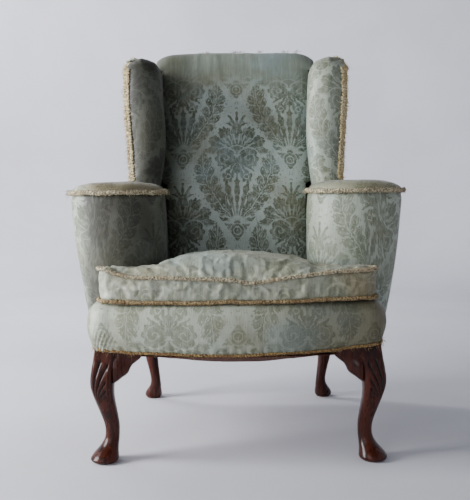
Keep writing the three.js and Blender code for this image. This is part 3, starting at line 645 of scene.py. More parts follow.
# The cushion and the right arm's cap carry painted shade that deepens from x = -0.05 m to x = 0.40 m on the right,
# for the window light falling off.
faded = damask_finish("faded_damask", srgb(168, 172, 154), srgb(118, 122, 98), srgb(140, 128, 94), (0.05, 0.1),
                      0.75, 0.5, painted_shade=(-0.05, 0.40, srgb(206, 196, 172)))
welt_braid = braid_finish("welt_braid", srgb(78, 66, 46), srgb(204, 194, 162), srgb(146, 128, 98))
old_gimp = braid_finish("old_gimp", srgb(60, 42, 20), srgb(160, 130, 78), srgb(96, 66, 34))
braid = braid_finish("frayed_braid", srgb(70, 50, 28), srgb(170, 148, 104), srgb(100, 72, 40))
pale_braid = braid_finish("pale_fringe", srgb(108, 88, 52), srgb(226, 212, 172), srgb(176, 156, 108))
polished = polished_finish("polished_wood")
frame_wood = plain_finish("frame_wood", srgb(150, 112, 70), srgb(190, 150, 100), 30, 0.7)
jute = plain_finish("jute", srgb(110, 84, 50), srgb(160, 128, 84), 300, 0.95)
bottom_cloth_finish = plain_finish("bottom_cloth", srgb(58, 30, 20), srgb(96, 54, 34), 200, 0.95)
steel = plain_finish("spring_steel", srgb(90, 80, 70), srgb(140, 130, 118), 60, 0.45, 0.8)


# ---- Arms ----

def arm_inner_at(y):
    """The inner faces of the arms spread apart behind their round fronts."""
    return ARM_INNER + 0.0865 * np.clip(y - ARM_WIDEST_Y, 0, None)


def arm_outer(z):
    """x of an arm's outside at its widest: 0.362 m at the rail and 55 mm more at the top, as h^0.8."""
    return 0.362 + 0.055 * np.clip((z - RAIL_BOTTOM) / (ARM_TOP - RAIL_BOTTOM), 0, 1) ** 0.8


def arm_outer_at(y, z):
    """How far out an arm's outside stands: widest near its front, and in to the rear post behind."""
    rear = mix(0.285, 0.296, (z - RAIL_BOTTOM) / (ARM_TOP - RAIL_BOTTOM))
    share = np.clip((y - ARM_WIDEST_Y) / 0.420, 0, None)
    return mix(arm_outer(z), rear, share ** 1.15)


def arm_path(z, outset=0.0, nose=90, inner=56, back_y=None):
    """Plan of an arm at each height, from the back of its inner face forward, round its nose
    (x = middle - cos(a) half, y = ARM_WIDEST_Y - ARM_NOSE sin(a)^0.9) and a little way back outside."""
    back_y = post_front(z) - 0.003 if back_y is None else back_y
    z = z[:, None]
    run = np.linspace(0, 1, inner)[None, :]
    turn = np.linspace(0, np.pi, nose)[None, 1:]
    x1 = arm_outer(z) + outset
    y_in = mix(back_y[:, None], ARM_WIDEST_Y, run)
    x0 = ARM_INNER - outset
    x_in = arm_inner_at(y_in) - outset
    x_nose = (x0 + x1) / 2 - np.cos(turn) * (x1 - x0) / 2
    y_nose = np.broadcast_to(ARM_WIDEST_Y - np.sin(turn) ** 0.9 * (ARM_NOSE + outset), x_nose.shape)
    y_out = np.broadcast_to(ARM_PANEL_Y - np.array([[0.0105, 0.0055, 0.001]]), (len(z), 3))
    x_out = arm_outer_at(y_out, z) + outset
    return np.concatenate([x_in, x_nose, x_out], 1), np.concatenate([y_in, y_nose, y_out], 1)


def arm_pad(side, name):
    """The arm's inner face and rounded front, swelling by 5 mm sin(pi h)^0.8 between rail and cap, with
    fine gathers under the cap and drag lines running down."""
    seed = 3 if side > 0 else 8
    rise = np.linspace(0, 1, 76)
    level = mix(RAIL_BOTTOM, ARM_TOP, rise)
    x, y = arm_path(level)
    # The foot of the inner face stands on the deck; round the outside it hangs to the rail.
    floor = mix(DECK_TOP + 0.002, RAIL_BOTTOM + 0.001, ease((x - 0.290) / 0.04))
    z = mix(floor, ARM_TOP - 0.001, rise[:, None])
    grid = line_points(x, y, z)
    normal = facing_away(grid, 40, 20, 0)
    up = rise[:, None]
    full = np.sin(np.pi * up) ** 0.8 * 0.005
    tuck = -0.004 * ease((up - 0.93) / 0.07)
    along = np.cumsum(np.linalg.norm(np.diff(grid[40], axis=0), axis=1))
    along = np.concatenate([[0], along])[None, :]
    gather = np.sin(along * 2 * np.pi / 0.0125 + 3 * lumps(grid, 30, seed))
    gather = 0.0011 * gather * np.exp(-(ARM_TOP - z) / 0.022) * (0.5 + 0.5 * lumps(grid, 14, seed + 1))
    drag = 0.0022 * creases(grid * [1, 1, 0.35], 16, seed + 2, 3) * ease(2 * up) * ease(3 * (1 - up))
    broad = 0.003 * lumps(grid, 6, seed + 4) * np.sin(np.pi * up)
    grid = grid + normal * (full + tuck + gather + drag + broad)[..., None]
    made = covering(name, grid, grid - normal * 0.008, side)
    return made


def outside_arm(side, name):
    """The panel outside an arm, from behind its rounded front to the rear post, hollowed by up to
    1.6 mm sin(pi s) sin(pi h) between its tacked edges."""
    rise = np.linspace(0, 1, 40)[:, None]
    z = mix(RAIL_BOTTOM + 0.001, ARM_TOP - 0.008, rise)
    share = np.linspace(0, 1, 50)[None, :]
    y = mix(ARM_PANEL_Y, back_plane(z) + PANEL_PAST_POST, share)
    x = arm_outer_at(y, z)
    hollow = 0.0016 * np.sin(np.pi * share) * np.sin(np.pi * rise)
    x = x - hollow + 0.0012 * lumps(line_points(x, y, z), 9, 21 + side) * np.sin(np.pi * share)
    grid = line_points(x, y, z)
    made = covering(name, grid, grid - [COVER_THICK, 0, 0], side)
    return made


SIDE_NAME = {1: "right", -1: "left"}


def arm_top(side, name):
    """The cap on an arm: rows from its back to its nose, each from the inner edge to the outer one,
    with a crown of 24.5 mm times (1 - |s|^3)^0.55 for s from -1 to 1 across it."""
    seed = 31 if side > 0 else 36
    back = 0.306  # just ahead of the outside back
    turn = np.linspace(0, np.pi / 2 - 0.02, 30)
    y = np.concatenate([np.linspace(back, ARM_WIDEST_Y, 60)[:-1], ARM_WIDEST_Y - ARM_NOSE * np.sin(turn) ** 0.9])
    narrow = np.concatenate([np.ones(59), np.cos(turn)])[:, None]
    y = y[:, None]
    outer = arm_outer_at(y, ARM_TOP) - 0.001
    inner = arm_inner_at(y) + 0.001
    middle, half = (outer + inner) / 2, (outer - inner) / 2 * narrow
    s = np.linspace(-1, 1, 52)[None, :]
    s = np.sin(s * np.pi / 2)
    x = middle + half * s
    edge = (1 - np.abs(s) ** 3.0) * (1 - np.clip((-y + ARM_WIDEST_Y) / ARM_NOSE, 0, 1) ** 5)
    flat = line_points(x, y, ARM_TOP)
    crown = 0.0245 * np.clip(edge, 0, 1) ** 0.55
    ripple = 0.0016 * lumps(flat, 26, seed) + 0.0012 * creases(flat, 38, seed + 1, 4)
    z = ARM_TOP + 0.0012 + crown + ripple * np.clip(edge, 0, 1)
    made = covering(name, line_points(x, y, z), line_points(x, y, np.full_like(x, ARM_TOP + 0.0004)), side)
    return made


# ---- Wings ----

WING_OUTER = [(0.634, 0.287), (0.720, 0.294), (0.820, 0.300), (0.920, 0.302), (1.001, 0.299)]
WING_INNER = [(0.634, 0.214), (0.700, 0.205), (0.780, 0.199), (0.880, 0.201), (0.960, 0.207), (1.001, 0.216)]
WING_FRONT = [(0.634, 0.002), (0.680, 0.024), (0.740, 0.038), (0.820, 0.036), (0.900, 0.030), (0.950, 0.034),
              (1.001, 0.046)]
WING_ROLL = 0.040  # depth of the wing's rolled front edge
WING_FOOT = 0.636
WING_SHOULDER = 0.958  # where the wing starts to round over


def wing_pad(side, name):
    """Rings from the back of the inner face, round the rolled front edge to the outside. Above the
    shoulder the rings narrow by cos(a) while they rise by sin(a), and close on their middle line."""
    seed = 41 if side > 0 else 47
    level = np.concatenate([np.linspace(WING_FOOT, WING_SHOULDER, 70), np.full(22, WING_SHOULDER)])
    fold = np.concatenate([np.zeros(70), np.linspace(0, np.pi / 2 - 0.03, 23)[1:]])
    z = level + (WING_TOP - 0.006 - WING_SHOULDER) * np.sin(fold)
    lean = np.cos(fold)[:, None]
    inner = through(WING_INNER, z)[:, None]
    outer = through(WING_OUTER, z)[:, None]
    front = through(WING_FRONT, z)[:, None]
    back = (post_front(level) - 0.002)[:, None] + 0 * inner
    run = np.linspace(0, 1, 50)[None, :]
    turn = np.linspace(0, np.pi, 34)[None, 1:]
    nose = front + WING_ROLL
    y_in = mix(back, nose, run)
    rear = mix(0.238, 0.226, (level[:, None] - 0.634) / 0.367)
    x_in = mix(rear, inner, ease((y_in - back) / (nose - back) * 1.15))
    x_roll = (inner + outer) / 2 - np.cos(turn) * (outer - inner) / 2
    y_roll = nose - np.sin(turn) ** 0.9 * WING_ROLL
    y_out = mix(nose, WING_PANEL_Y - 0.001, np.linspace(0, 1, 6)[None, 1:])
    x_out = np.broadcast_to(outer, y_out.shape)
    x = np.concatenate([x_in, x_roll, x_out], 1)
    y = np.concatenate([y_in, y_roll, y_out], 1)
    middle = (inner + outer) / 2
    x = middle + (x - middle) * lean
    y = y + (1 - lean) * WING_ROLL * 0.8 * np.exp(-((y - front) / 0.05) ** 2)
    z = np.broadcast_to(z[:, None], x.shape)
    grid = line_points(x, y, z)
    normal = facing_away(grid, 30, 20, 0)
    up = np.linspace(0, 1, len(level))[:, None]
    broad = 0.0035 * lumps(grid, 8, seed) * np.sin(np.pi * up)
    pull = 0.0016 * creases(grid * [1, 1, 0.3], 24, seed + 1, 3)
    foot = 0.0022 * np.sin(y * 2 * np.pi / 0.016) * np.exp(-(z - WING_FOOT) / 0.02)
    pleat = 0.004 * np.maximum(0, np.sin((x - inner) * 2 * np.pi / 0.034)) * ease((z - 0.965) / 0.03) * lean
    grid = grid + normal * (broad + pull + foot + pleat)[..., None]
    inside = grid - normal * 0.006
    inside[..., 2] = np.minimum(inside[..., 2], grid[..., 2])  # the lining never stands over the cloth
    made = covering(name, grid, inside, side)
    return made


def outside_wing(side, name):
    """The panel outside a wing, from its rolled front back to the post, and the same cloth turned in over
    the wing's top rail and the top of the back post, crowned by 6 mm sin(pi s)."""
    rise = np.linspace(0, 1, 40)[:, None]
    z = mix(WING_FOOT, 0.991, rise)
    share = np.linspace(0, 1, 36)[None, :]
    y = mix(WING_PANEL_Y, back_plane(z) + PANEL_PAST_POST, share)
    x = mix(through(WING_OUTER, z), 0.288, ease(share))
    x = x + 0.001 * lumps(line_points(x, y, z), 10, 51 + side) * np.sin(np.pi * share)
    grid = line_points(x, y, z)
    mirror = np.array([side, 1, 1])
    panel = slab(grid * mirror, (grid - [COVER_THICK, 0, 0]) * mirror)
    start, end = 0.2365, 0.2960
    across, deep = np.meshgrid(np.linspace(start, end, 14), np.linspace(0.075, 0.3625, 44))
    lap = line_points(across, deep, 0.9890 + 0.006 * np.sin(np.pi * (across - start) / (end - start)))
    lap[..., 2] += 0.001 * lumps(lap, 30, 53 + side)
    flap = slab(lap * mirror, (lap - [0, 0, COVER_THICK]) * mirror)
    cloth = np.concatenate([cloth_of(grid).reshape(-1, 3)] * 2 + [cloth_of(lap).reshape(-1, 3)] * 2)
    made = build(name, joined([panel, flap]), cloth)
    return made


# ---- Back ----

BACK_PROFILE = [
    (0.118, 0.342), (0.121, 0.430), (0.127, 0.520), (0.146, 0.620), (0.178, 0.720), (0.212, 0.820),
    (0.243, 0.920), (0.262, 0.985), (0.280, 1.020), (0.300, 1.040), (0.324, 1.050), (0.350, 1.046),
    (0.368, 1.034), (0.375, 1.018), (0.3755, 1.003),
]


def back_pad():
    """The stuffed back: a side profile carried across for u from -1 to 1, its middle swelling forward by
    10 mm (1 - u^2) and its edges rolling back by 16 mm |u|^11. The crest rises 3 mm and drops by
    24 mm |u|^9 at its shoulders."""
    rows = 190
    profile = smoothed(resampled(np.array(BACK_PROFILE), rows), 6)
    y, z = profile[:, :1], profile[:, 1:]
    u = np.linspace(-1, 1, 110)[None, :]
    u = 0.75 * u + 0.25 * np.sin(u * np.pi / 2)
    # Its half width: narrow between the arms, then between the wings, and over the posts at the crest.
    between_arms, between_wings, at_crest = 0.2005, 0.2185, 0.238
    crest = np.linspace(0, 1, rows)[:, None] > 0.7
    wide = mix(between_arms, between_wings, ease((z - 0.650) / 0.012))
    widened = np.maximum(wide, mix(between_wings, at_crest, ease((z - 0.994) / 0.016)))
    wide = np.where(crest | (z > 0.99), widened, wide)
    wide = np.where(np.arange(rows)[:, None] > 160, at_crest, wide)
    x = u * wide
    swell = 0.010 * (1 - u ** 2) * ease((z - 0.34) / 0.2) * ease((1.02 - z) / 0.2)
    edge = 0.016 * np.abs(u) ** 11
    over = ease((z - 0.985) / 0.03)
    y = y - swell + edge * (1 - over) + 0.004 * over * np.abs(u) ** 6
    z = z + (0.003 - 0.024 * np.abs(u) ** 9) * over
    grid = line_points(x, y, z)
    normal = facing_away(grid, 60, 60, 1)
    broad = 0.0035 * lumps(grid, 5, 61) + 0.0014 * lumps(grid * [1, 1, 0.4], 22, 62)
    crest_pull = 0.0016 * creases(grid * [1, 0.5, 0.2], 30, 63, 3) * ease((z - 0.94) / 0.05)
    grid = grid + normal * (broad + crest_pull)[..., None]
    # The stuffing is 9 mm deep on the back and fills the crest's roll.
    heart = line_points(grid[..., 0], 0.318, 1.006)
    inner = mix(grid - normal * 0.009, heart, 0.9 * ease((z - 0.965) / 0.03)[..., None])
    made = covering("back_cover", grid, inner)
    return made


def outside_back():
    """The panel behind the back, following the posts and hollowed by 2.2 mm sin(pi h) sin(pi s)."""
    rise = np.linspace(0, 1, 66)[:, None]
    z = mix(RAIL_BOTTOM + 0.001, 0.999, rise)
    x = np.linspace(-0.2855, 0.2855, 50)[None, :]
    grid = line_points(x, back_plane(z) + 0.0042, z)
    tight = np.sin(np.pi * rise) * np.sin(np.pi * (x / 0.571 + 0.5))
    grid[..., 1] += -0.0022 * tight + 0.0007 * lumps(grid, 7, 66) * tight
    made = covering("outside_back_cover", grid, grid - [0, 0.0016, 0])
    return made


# ---- Seat ----

def seat_line():
    """Half of the seat's front outline, from the middle round the corner to the arm. The front bows back
    by 26 mm (x / 292 mm)^2, and the corner is a quarter circle."""
    corner_x, corner_y, radius = 0.294, -0.292, 0.052
    x = np.linspace(0, corner_x, 80)
    front = np.stack([x, SEAT_FRONT + 0.026 * (x / 0.292) ** 2], axis=1)
    turn = np.linspace(0, np.pi / 2, 40)
    corner = np.stack([corner_x + radius * np.sin(turn), corner_y - radius * np.cos(turn)], axis=1)
    side = np.array([[0.3475, -0.260], [SEAT_SIDE, -0.222]])
    return np.concatenate([front, corner[1:], side])


def seat_outline(count):
    """The whole outline from the left arm to the right one, in `count` even steps."""
    half = seat_line()
    whole = np.concatenate([half[::-1] * [-1, 1], half[1:]])
    return smoothed(resampled(whole, count), 3)


def outward_in_plan(line):
    """Unit directions square to a plan curve, on its right-hand side."""
    t = np.gradient(line, axis=0)
    n = np.stack([t[:, 1], -t[:, 0]], axis=1)
    return n / np.linalg.norm(n, axis=1, keepdims=True)


BORDER_PROFILE = [
    (-0.070, 0.3765), (-0.045, 0.3800), (-0.028, 0.3800), (-0.015, 0.3740), (-0.005, 0.3610), (0.0, 0.3430),
    (0.001, 0.3250), (-0.002, 0.3030), (-0.007, 0.2830), (-0.012, 0.2680), (-0.0150, 0.2625),
]


def foot_rise(x):
    """How much higher the border's lower edge is towards the corners than in its sagging middle: 13 mm
    (x / 330 mm)^2, and 4 mm x / 330 mm more on the right."""
    return 0.013 * (np.abs(x) / 0.33) ** 2 + 0.004 * (x / 0.33)


def seat_border():
    """The bulging front of the seat: its plan outline, moved out and down by a rounded profile."""
    outline = seat_outline(300)
    out = outward_in_plan(outline)
    profile = smoothed(resampled(np.array(BORDER_PROFILE), 64), 3)
    offset, z = profile[:, :1], profile[:, 1:]
    place = outline[None] + out[None] * offset[..., None]
    z = z + foot_rise(place[..., 0]) * ease((0.345 - z) / 0.08)
    grid = line_points(place[..., 0], place[..., 1], z)
    normal = facing_away(grid, 40, 150, 1)
    along = np.concatenate([[0], np.cumsum(np.linalg.norm(np.diff(outline, axis=0), axis=1))])[None, :]
    along = along - along[0, 150]
    at_corner = np.exp(-((np.abs(along) - 0.345) / 0.045) ** 2)
    fan = np.sin((along + 0.55 * (z - 0.262) * np.sign(along)) * 2 * np.pi / 0.0105)
    pleats = 0.0016 * fan * at_corner * ease((0.345 - z) / 0.06)
    stronger = np.where(along < 0, 1.5, 0.8)
    broad = 0.004 * lumps(grid, 7, 71) + 0.0016 * lumps(grid * [1, 1, 0.5], 26, 72)
    tucks = 0.0012 * np.sin(along * 2 * np.pi / 0.021 + 5 * lumps(grid, 9, 73)) * ease((0.295 - z) / 0.03)
    grid = grid + normal * (pleats * stronger + (broad + tucks) * ease((0.378 - z) / 0.02 + 0.3))[..., None]
    made = covering("seat_border", grid, grid - normal * 0.005)
    return made


def deck():
    """The T-shaped platform under the cushion, sagging by 14 mm in its middle."""
    v = np.linspace(0, 1, 60)[:, None]
    y = mix(-0.312, 0.110, v)
    wide = mix(0.322, arm_inner_at(y) - 0.005, ease((y + 0.236) / 0.012))
    x = np.linspace(-1, 1, 70)[None, :] * wide
    sag = 0.014 * np.clip(1 - (x / 0.30) ** 2, 0, 1) * np.sin(np.pi * np.clip(v * 1.02, 0, 1))
    grid = line_points(x, y, DECK_TOP - 0.0035 - sag)
    grid[..., 2] += 0.002 * lumps(grid, 14, 81)
    made = covering("seat_platform", grid, grid - [0, 0, 0.012])
    return made


# ---- Cushion ----

# Heights of the cushion's seams along its front, as (x, z).
TOP_SEAM = [
    (-0.330, 0.452), (-0.306, 0.459), (-0.275, 0.447), (-0.247, 0.441), (-0.150, 0.438), (-0.065, 0.4342),
    (-0.016, 0.4315), (0.029, 0.4255), (0.085, 0.4310), (0.152, 0.4410), (0.231, 0.4485), (0.330, 0.4520),
]
BOTTOM_SEAM = [
    (-0.330, 0.3875), (-0.240, 0.3845), (-0.170, 0.3835), (0.0, 0.3850), (0.140, 0.3855), (0.243, 0.3885),
    (0.330, 0.3905),
]


def cushion_half():
    """Half of the T-shaped outline, from the middle of the front to the middle of the back."""
    wide, neck, front, back = 0.317, 0.171, -0.350, 0.100  # half widths of the T's bar and stem; their ends
    front_round, ear_round, back_round = 0.030, 0.017, 0.020  # radii of its three corners
    shoulder = 0.128  # depth of the quarter ellipse that clears the arm's nose
    turn = np.linspace(0, np.pi / 2, 14)
    inner = np.linspace(0, np.pi / 2, 30)
    c, s = np.cos(turn), np.sin(turn)
    x = np.linspace(0, wide - front_round, 40)
    return np.concatenate([
        np.stack([x, front + 0.018 * (x / wide) ** 2], 1),
        np.stack([wide - front_round + front_round * s, front + 0.045 - front_round * c], 1),
        [[wide, -0.300], [wide - 0.001, -0.262]],
        np.stack([wide - 0.018 + ear_round * c, -0.254 + ear_round * s], 1),
        np.stack([neck + (1 - np.sin(inner)) * (wide - 0.054 - neck), -0.108 - np.cos(inner) * shoulder], 1),
        np.stack([neck - 0.006 + back_round * c, back - back_round + back_round * s], 1),
        [[0.0, back]],
    ])


def cushion_outline(count):
    """The closed T-shaped outline in `count` even steps, its corners softened."""
    half = cushion_half()
    whole = np.concatenate([half, half[-2:0:-1] * [-1, 1], half[:1]])
    return smoothed_ring(resampled(whole, count + 1)[:-1], 3)


def seam_height(stations, x, y):
    """A seam's height: the front's dips count fully at the front edge and fade to 0 behind it."""
    front = through(stations, x)
    level = through(stations, np.full_like(x, 0.32)) - 0.012 * ease((y + 0.05) / 0.12)
    return mix(level, front, ease((-0.255 - y) / 0.05))


def away_from(points, outline):
    """Distance from each plan point to the nearest of the outline's points."""
    best = np.full(len(points), 9.0)
    for start in range(0, len(outline), 40):
        part = outline[start:start + 40]
        gap = np.linalg.norm(points[:, None, :] - part[None], axis=-1).min(axis=1)
        best = np.minimum(best, gap)
    return best


def remeshed(made, voxel):
    """The object's mesh rebuilt in even quads by a voxel remesh."""
    change = made.modifiers.new("even", "REMESH")
    change.mode = "VOXEL"
    change.voxel_size = voxel
    change.use_smooth_shade = True
    return applied(made)


def applied(made):
    """The object with its modifiers made part of its mesh."""
    graph = bpy.context.evaluated_depsgraph_get()
    mesh = bpy.data.meshes.new_from_object(made.evaluated_get(graph))
    made.modifiers.clear()
    old = made.data
    made.data = mesh
    bpy.data.meshes.remove(old)
    mesh.name = made.name
    return made


def points_of(made):
    """A mesh object's points as rows of x, y, z."""
    flat = np.empty(len(made.data.vertices) * 3, np.float32)
    made.data.vertices.foreach_get("co", flat)
    return flat.reshape(-1, 3).astype(float)


def normals_of(made):
    """The unit normal at each of its points."""
    flat = np.empty(len(made.data.vertices) * 3, np.float32)
    made.data.vertex_normals.foreach_get("vector", flat)
    return flat.reshape(-1, 3).astype(float)


def set_points(made, points):
    """Moves the points to new places."""
    made.data.vertices.foreach_set("co", points.astype(np.float32).ravel())
    made.data.update()


def swollen(made, pinned, pressure, grow, cap, frames=20):
    """The mesh blown up as cloth from inside, with its pinned points held and no point moved more than
    cap; grow makes the cloth that much bigger than the shape, so that it wrinkles."""
    before = points_of(made)
    group = made.vertex_groups.new(name="held")
    group.add(np.flatnonzero(pinned).tolist(), 1.0, "REPLACE")
    change = made.modifiers.new("cloth", "CLOTH")
    setting = change.settings
    setting.quality = 6
    setting.mass = 0.3
    setting.use_pressure = True
    setting.uniform_pressure_force = pressure
    setting.tension_stiffness = 12
    setting.compression_stiffness = 8
    setting.shear_stiffness = 5
    setting.bending_stiffness = 0.25
    setting.shrink_min = -grow
    setting.vertex_group_mass = "held"
    setting.effector_weights.gravity = 0
    change.collision_settings.use_collision = False
    change.collision_settings.use_self_collision = False
    scene = bpy.context.scene
    for step in range(1, frames + 1):
        scene.frame_set(step)
    graph = bpy.context.evaluated_depsgraph_get()
    moved = np.empty(len(before) * 3, np.float32)
    made.evaluated_get(graph).data.vertices.foreach_get("co", moved)
    made.modifiers.clear()
    scene.frame_set(1)
    step = moved.reshape(-1, 3) - before
    length = np.linalg.norm(step, axis=1, keepdims=True)
    step *= np.minimum(1, cap / np.maximum(length, 1e-9))
    set_points(made, before + step)
    return made


def subdivided(made, levels=1):
    """The mesh with each quad split in four and smoothed, once a level."""
    change = made.modifiers.new("finer", "SUBSURF")
    change.levels = change.render_levels = levels
    return applied(made)


# Folds of the cushion's top, as (x, y) of both ends, height and half width; and of its boxing in (x, z).
TOP_FOLDS = [
    (-0.016, -0.352, -0.024, -0.180, -0.0120, 0.0040), (-0.008, -0.352, -0.014, -0.200, 0.0100, 0.0050),
    (0.048, -0.352, 0.012, -0.180, -0.0120, 0.0040), (0.036, -0.352, 0.000, -0.215, 0.0080, 0.0060),
    (0.062, -0.352, 0.026, -0.200, 0.0080, 0.0060), (0.010, -0.352, -0.018, -0.290, 0.0080, 0.0050),
    (-0.030, -0.350, -0.072, -0.240, 0.0070, 0.0075), (-0.044, -0.350, -0.110, -0.270, -0.0060, 0.0070),
    (0.070, -0.350, 0.110, -0.262, 0.0060, 0.0075), (0.084, -0.350, 0.160, -0.315, 0.0056, 0.0070),
    (-0.060, -0.350, -0.165, -0.325, 0.0056, 0.0065), (-0.250, -0.330, -0.130, -0.235, 0.0056, 0.0090),
    (-0.285, -0.335, -0.215, -0.250, 0.0060, 0.0080), (0.290, -0.330, 0.180, -0.250, 0.0050, 0.0100),
    (-0.170, -0.300, -0.090, -0.200, 0.0046, 0.0090), (0.150, -0.290, 0.110, -0.190, 0.0050, 0.0090),
    (-0.010, -0.215, -0.050, -0.090, 0.0060, 0.0090), (0.205, -0.330, 0.240, -0.260, 0.0046, 0.0070),
    (-0.300, -0.300, -0.240, -0.300, 0.0056, 0.0070), (0.060, -0.130, -0.080, -0.020, 0.0056, 0.0100),
]
BOXING_FOLDS = [
    (-0.012, 0.428, -0.018, 0.392, -0.0060, 0.0035), (0.000, 0.428, 0.034, 0.394, 0.0050, 0.0040),
    (0.010, 0.428, 0.052, 0.388, -0.0050, 0.0035), (0.034, 0.424, 0.030, 0.396, -0.0050, 0.0034),
    (0.030, 0.424, 0.075, 0.400, 0.0040, 0.0040), (-0.030, 0.428, -0.060, 0.396, 0.0036, 0.0050),
    (-0.110, 0.436, -0.112, 0.414, -0.0060, 0.0028), (-0.135, 0.436, -0.137, 0.420, -0.0040, 0.0028),
    (0.086, 0.428, 0.092, 0.396, 0.0040, 0.0055), (0.118, 0.432, 0.112, 0.400, 0.0036, 0.0060),
    (0.160, 0.440, 0.150, 0.402, 0.0040, 0.0060), (0.196, 0.446, 0.184, 0.400, 0.0044, 0.0060),
    (0.232, 0.450, 0.214, 0.404, 0.0044, 0.0060), (0.262, 0.450, 0.240, 0.402, -0.0044, 0.0060),
    (0.290, 0.450, 0.262, 0.410, 0.0044, 0.0060), (-0.290, 0.440, -0.240, 0.400, 0.0036, 0.0060),
    (-0.200, 0.432, -0.190, 0.395, 0.0036, 0.0070), (-0.230, 0.436, -0.222, 0.400, -0.0030, 0.0060),
    (-0.085, 0.428, -0.090, 0.392, 0.0034, 0.0070), (-0.160, 0.430, -0.162, 0.394, 0.0030, 0.0080),
]


def folds(a, b, table):
    """Folds along straight lines: height times exp(-(distance / half width)^2), fading at the far end,
    with a shallow hollow at each side."""
    total = np.zeros(a.shape)
    for a0, b0, a1, b1, height, half in table:
        da, db = a1 - a0, b1 - b0
        t = np.clip(((a - a0) * da + (b - b0) * db) / (da * da + db * db), 0, 1)
        bend = 0.15 * math.hypot(da, db) * np.sin(np.pi * t) * (1 if (a0 + b1) % 0.02 > 0.01 else -1)
        d = np.hypot(a - a0 - t * da, b - b0 - t * db - bend)
        fade = np.sin(np.pi * np.clip(0.12 + 0.88 * t, 0, 1)) ** 0.7
        total += height * fade * (np.exp(-(d / half) ** 2) - 0.45 * np.exp(-(d / (2.4 * half)) ** 2))
    return total


def cushion():
    """The loose seat cushion: a T-shaped slab rebuilt in even quads, bent to its seams and crowned by
    1 - exp(-d / 40 mm) of the distance d in from them, blown up as cloth, then folded and crumpled."""
    outline = cushion_outline(420)
    count = len(outline)
    flat = (CUSHION_BOTTOM + 0.003, 0.455)
    rings = [np.column_stack([outline, np.full(count, z)]) for z in flat]
    mesh = bpy.data.meshes.new("cushion_cover")
    ring = np.arange(count)
    sides = np.stack([ring, np.roll(ring, -1), np.roll(ring, -1) + count, ring + count], 1)
    faces = [ring[::-1].tolist(), (ring + count).tolist(), *sides.tolist()]
    mesh.from_pydata(np.concatenate(rings).tolist(), [], faces)
    made = bpy.data.objects.new("cushion_cover", mesh)
    bpy.context.scene.collection.objects.link(made)
    remeshed(made, 0.0056)
    p = points_of(made)
    gap = away_from(p[:, :2], outline)
    inside = np.clip(gap, 0, None)
    share = np.clip((p[:, 2] - flat[0]) / (flat[1] - flat[0]), 0, 1)
    top = seam_height(TOP_SEAM, p[:, 0], p[:, 1])
    bottom = seam_height(BOTTOM_SEAM, p[:, 0], p[:, 1])
    # The filling stands highest a little behind the front: 0.481 m less 0.034 ((x + 0.03) / 0.25)^2.
    dome = 0.481 - 0.034 * ((p[:, 0] + 0.03) / 0.25) ** 2 - 0.034 * ease((p[:, 1] + 0.19) / 0.24)
    crown = np.maximum(dome - top, 0.006) * (1 - np.exp(-inside / 0.040))
    p[:, 2] = mix(bottom - 0.003 * (1 - np.exp(-inside / 0.03)), top + crown, share)
    set_points(made, p)
    seam = (gap < 0.005) & ((share > 0.90) | (share < 0.10))
    swollen(made, seam | (share < 0.02), pressure=4.0, grow=0.03, cap=0.007)
    subdivided(made)
    p, n = points_of(made), normals_of(made)
    gap = away_from(p[:, :2], outline)
    share = np.clip((p[:, 2] - 0.385) / 0.06, 0, 1)  # 0 at the lower seam, 1 at the upper one
    on_top = ease((n[:, 2] - 0.2) / 0.5)
    on_side = ease((0.6 - np.abs(n[:, 2])) / 0.4)
    # Small gathers at the seams, folds that meet at the low middle of the front, and crumpled sides.
    gather = lumps(p * [1, 1, 0.2], 75, 91) * np.exp(-gap / 0.018)
    crumple = creases(p, 15, 93, 4) + 0.7 * creases(p, 33, 94, 4) + 0.4 * creases(p, 70, 99, 4)
    top_move = 0.0014 * gather + 0.0030 * (crumple - 0.7) + 0.003 * lumps(p, 8, 95)
    top_move += folds(p[:, 0], p[:, 1], TOP_FOLDS) * ease(gap / 0.012)
    side_move = 0.0040 * (creases(p * [0.8, 1, 0.8], 21, 97, 4) + 0.6 * creases(p, 44, 98, 4) - 0.7)
    side_move += 0.0016 * lumps(p * [1, 1, 0.3], 60, 96) + 1.5 * folds(p[:, 0], p[:, 2], BOXING_FOLDS)
    away = ease(gap / 0.010 + (1 - on_top))
    depth = np.sin(np.pi * np.clip(share, 0.04, 0.96))
    p = p + n * (top_move * on_top * away + side_move * on_side * depth)[:, None]
    set_points(made, p)
    cloth = np.stack([p[:, 0], p[:, 1] * on_top + (p[:, 2] - 0.46) * (1 - on_top), on_top], axis=1)
    lay(made.data, cloth)
    made.data.polygons.foreach_set("use_smooth", np.ones(len(made.data.polygons), bool))
    return made


# ---- Braids, welts and fringes ----

def frames_along(path, up, closed=False):
    """Tangent, side and rise at each point of a path; side is square to the tangent and to `up`."""
    if closed:
        t = np.roll(path, -1, 0) - np.roll(path, 1, 0)
    else:
        t = np.gradient(path, axis=0)
    t /= np.linalg.norm(t, axis=1, keepdims=True)
    side = np.cross(t, np.broadcast_to(up, t.shape))
    side /= np.maximum(np.linalg.norm(side, axis=1, keepdims=True), 1e-9)
    return t, side, np.cross(side, t)


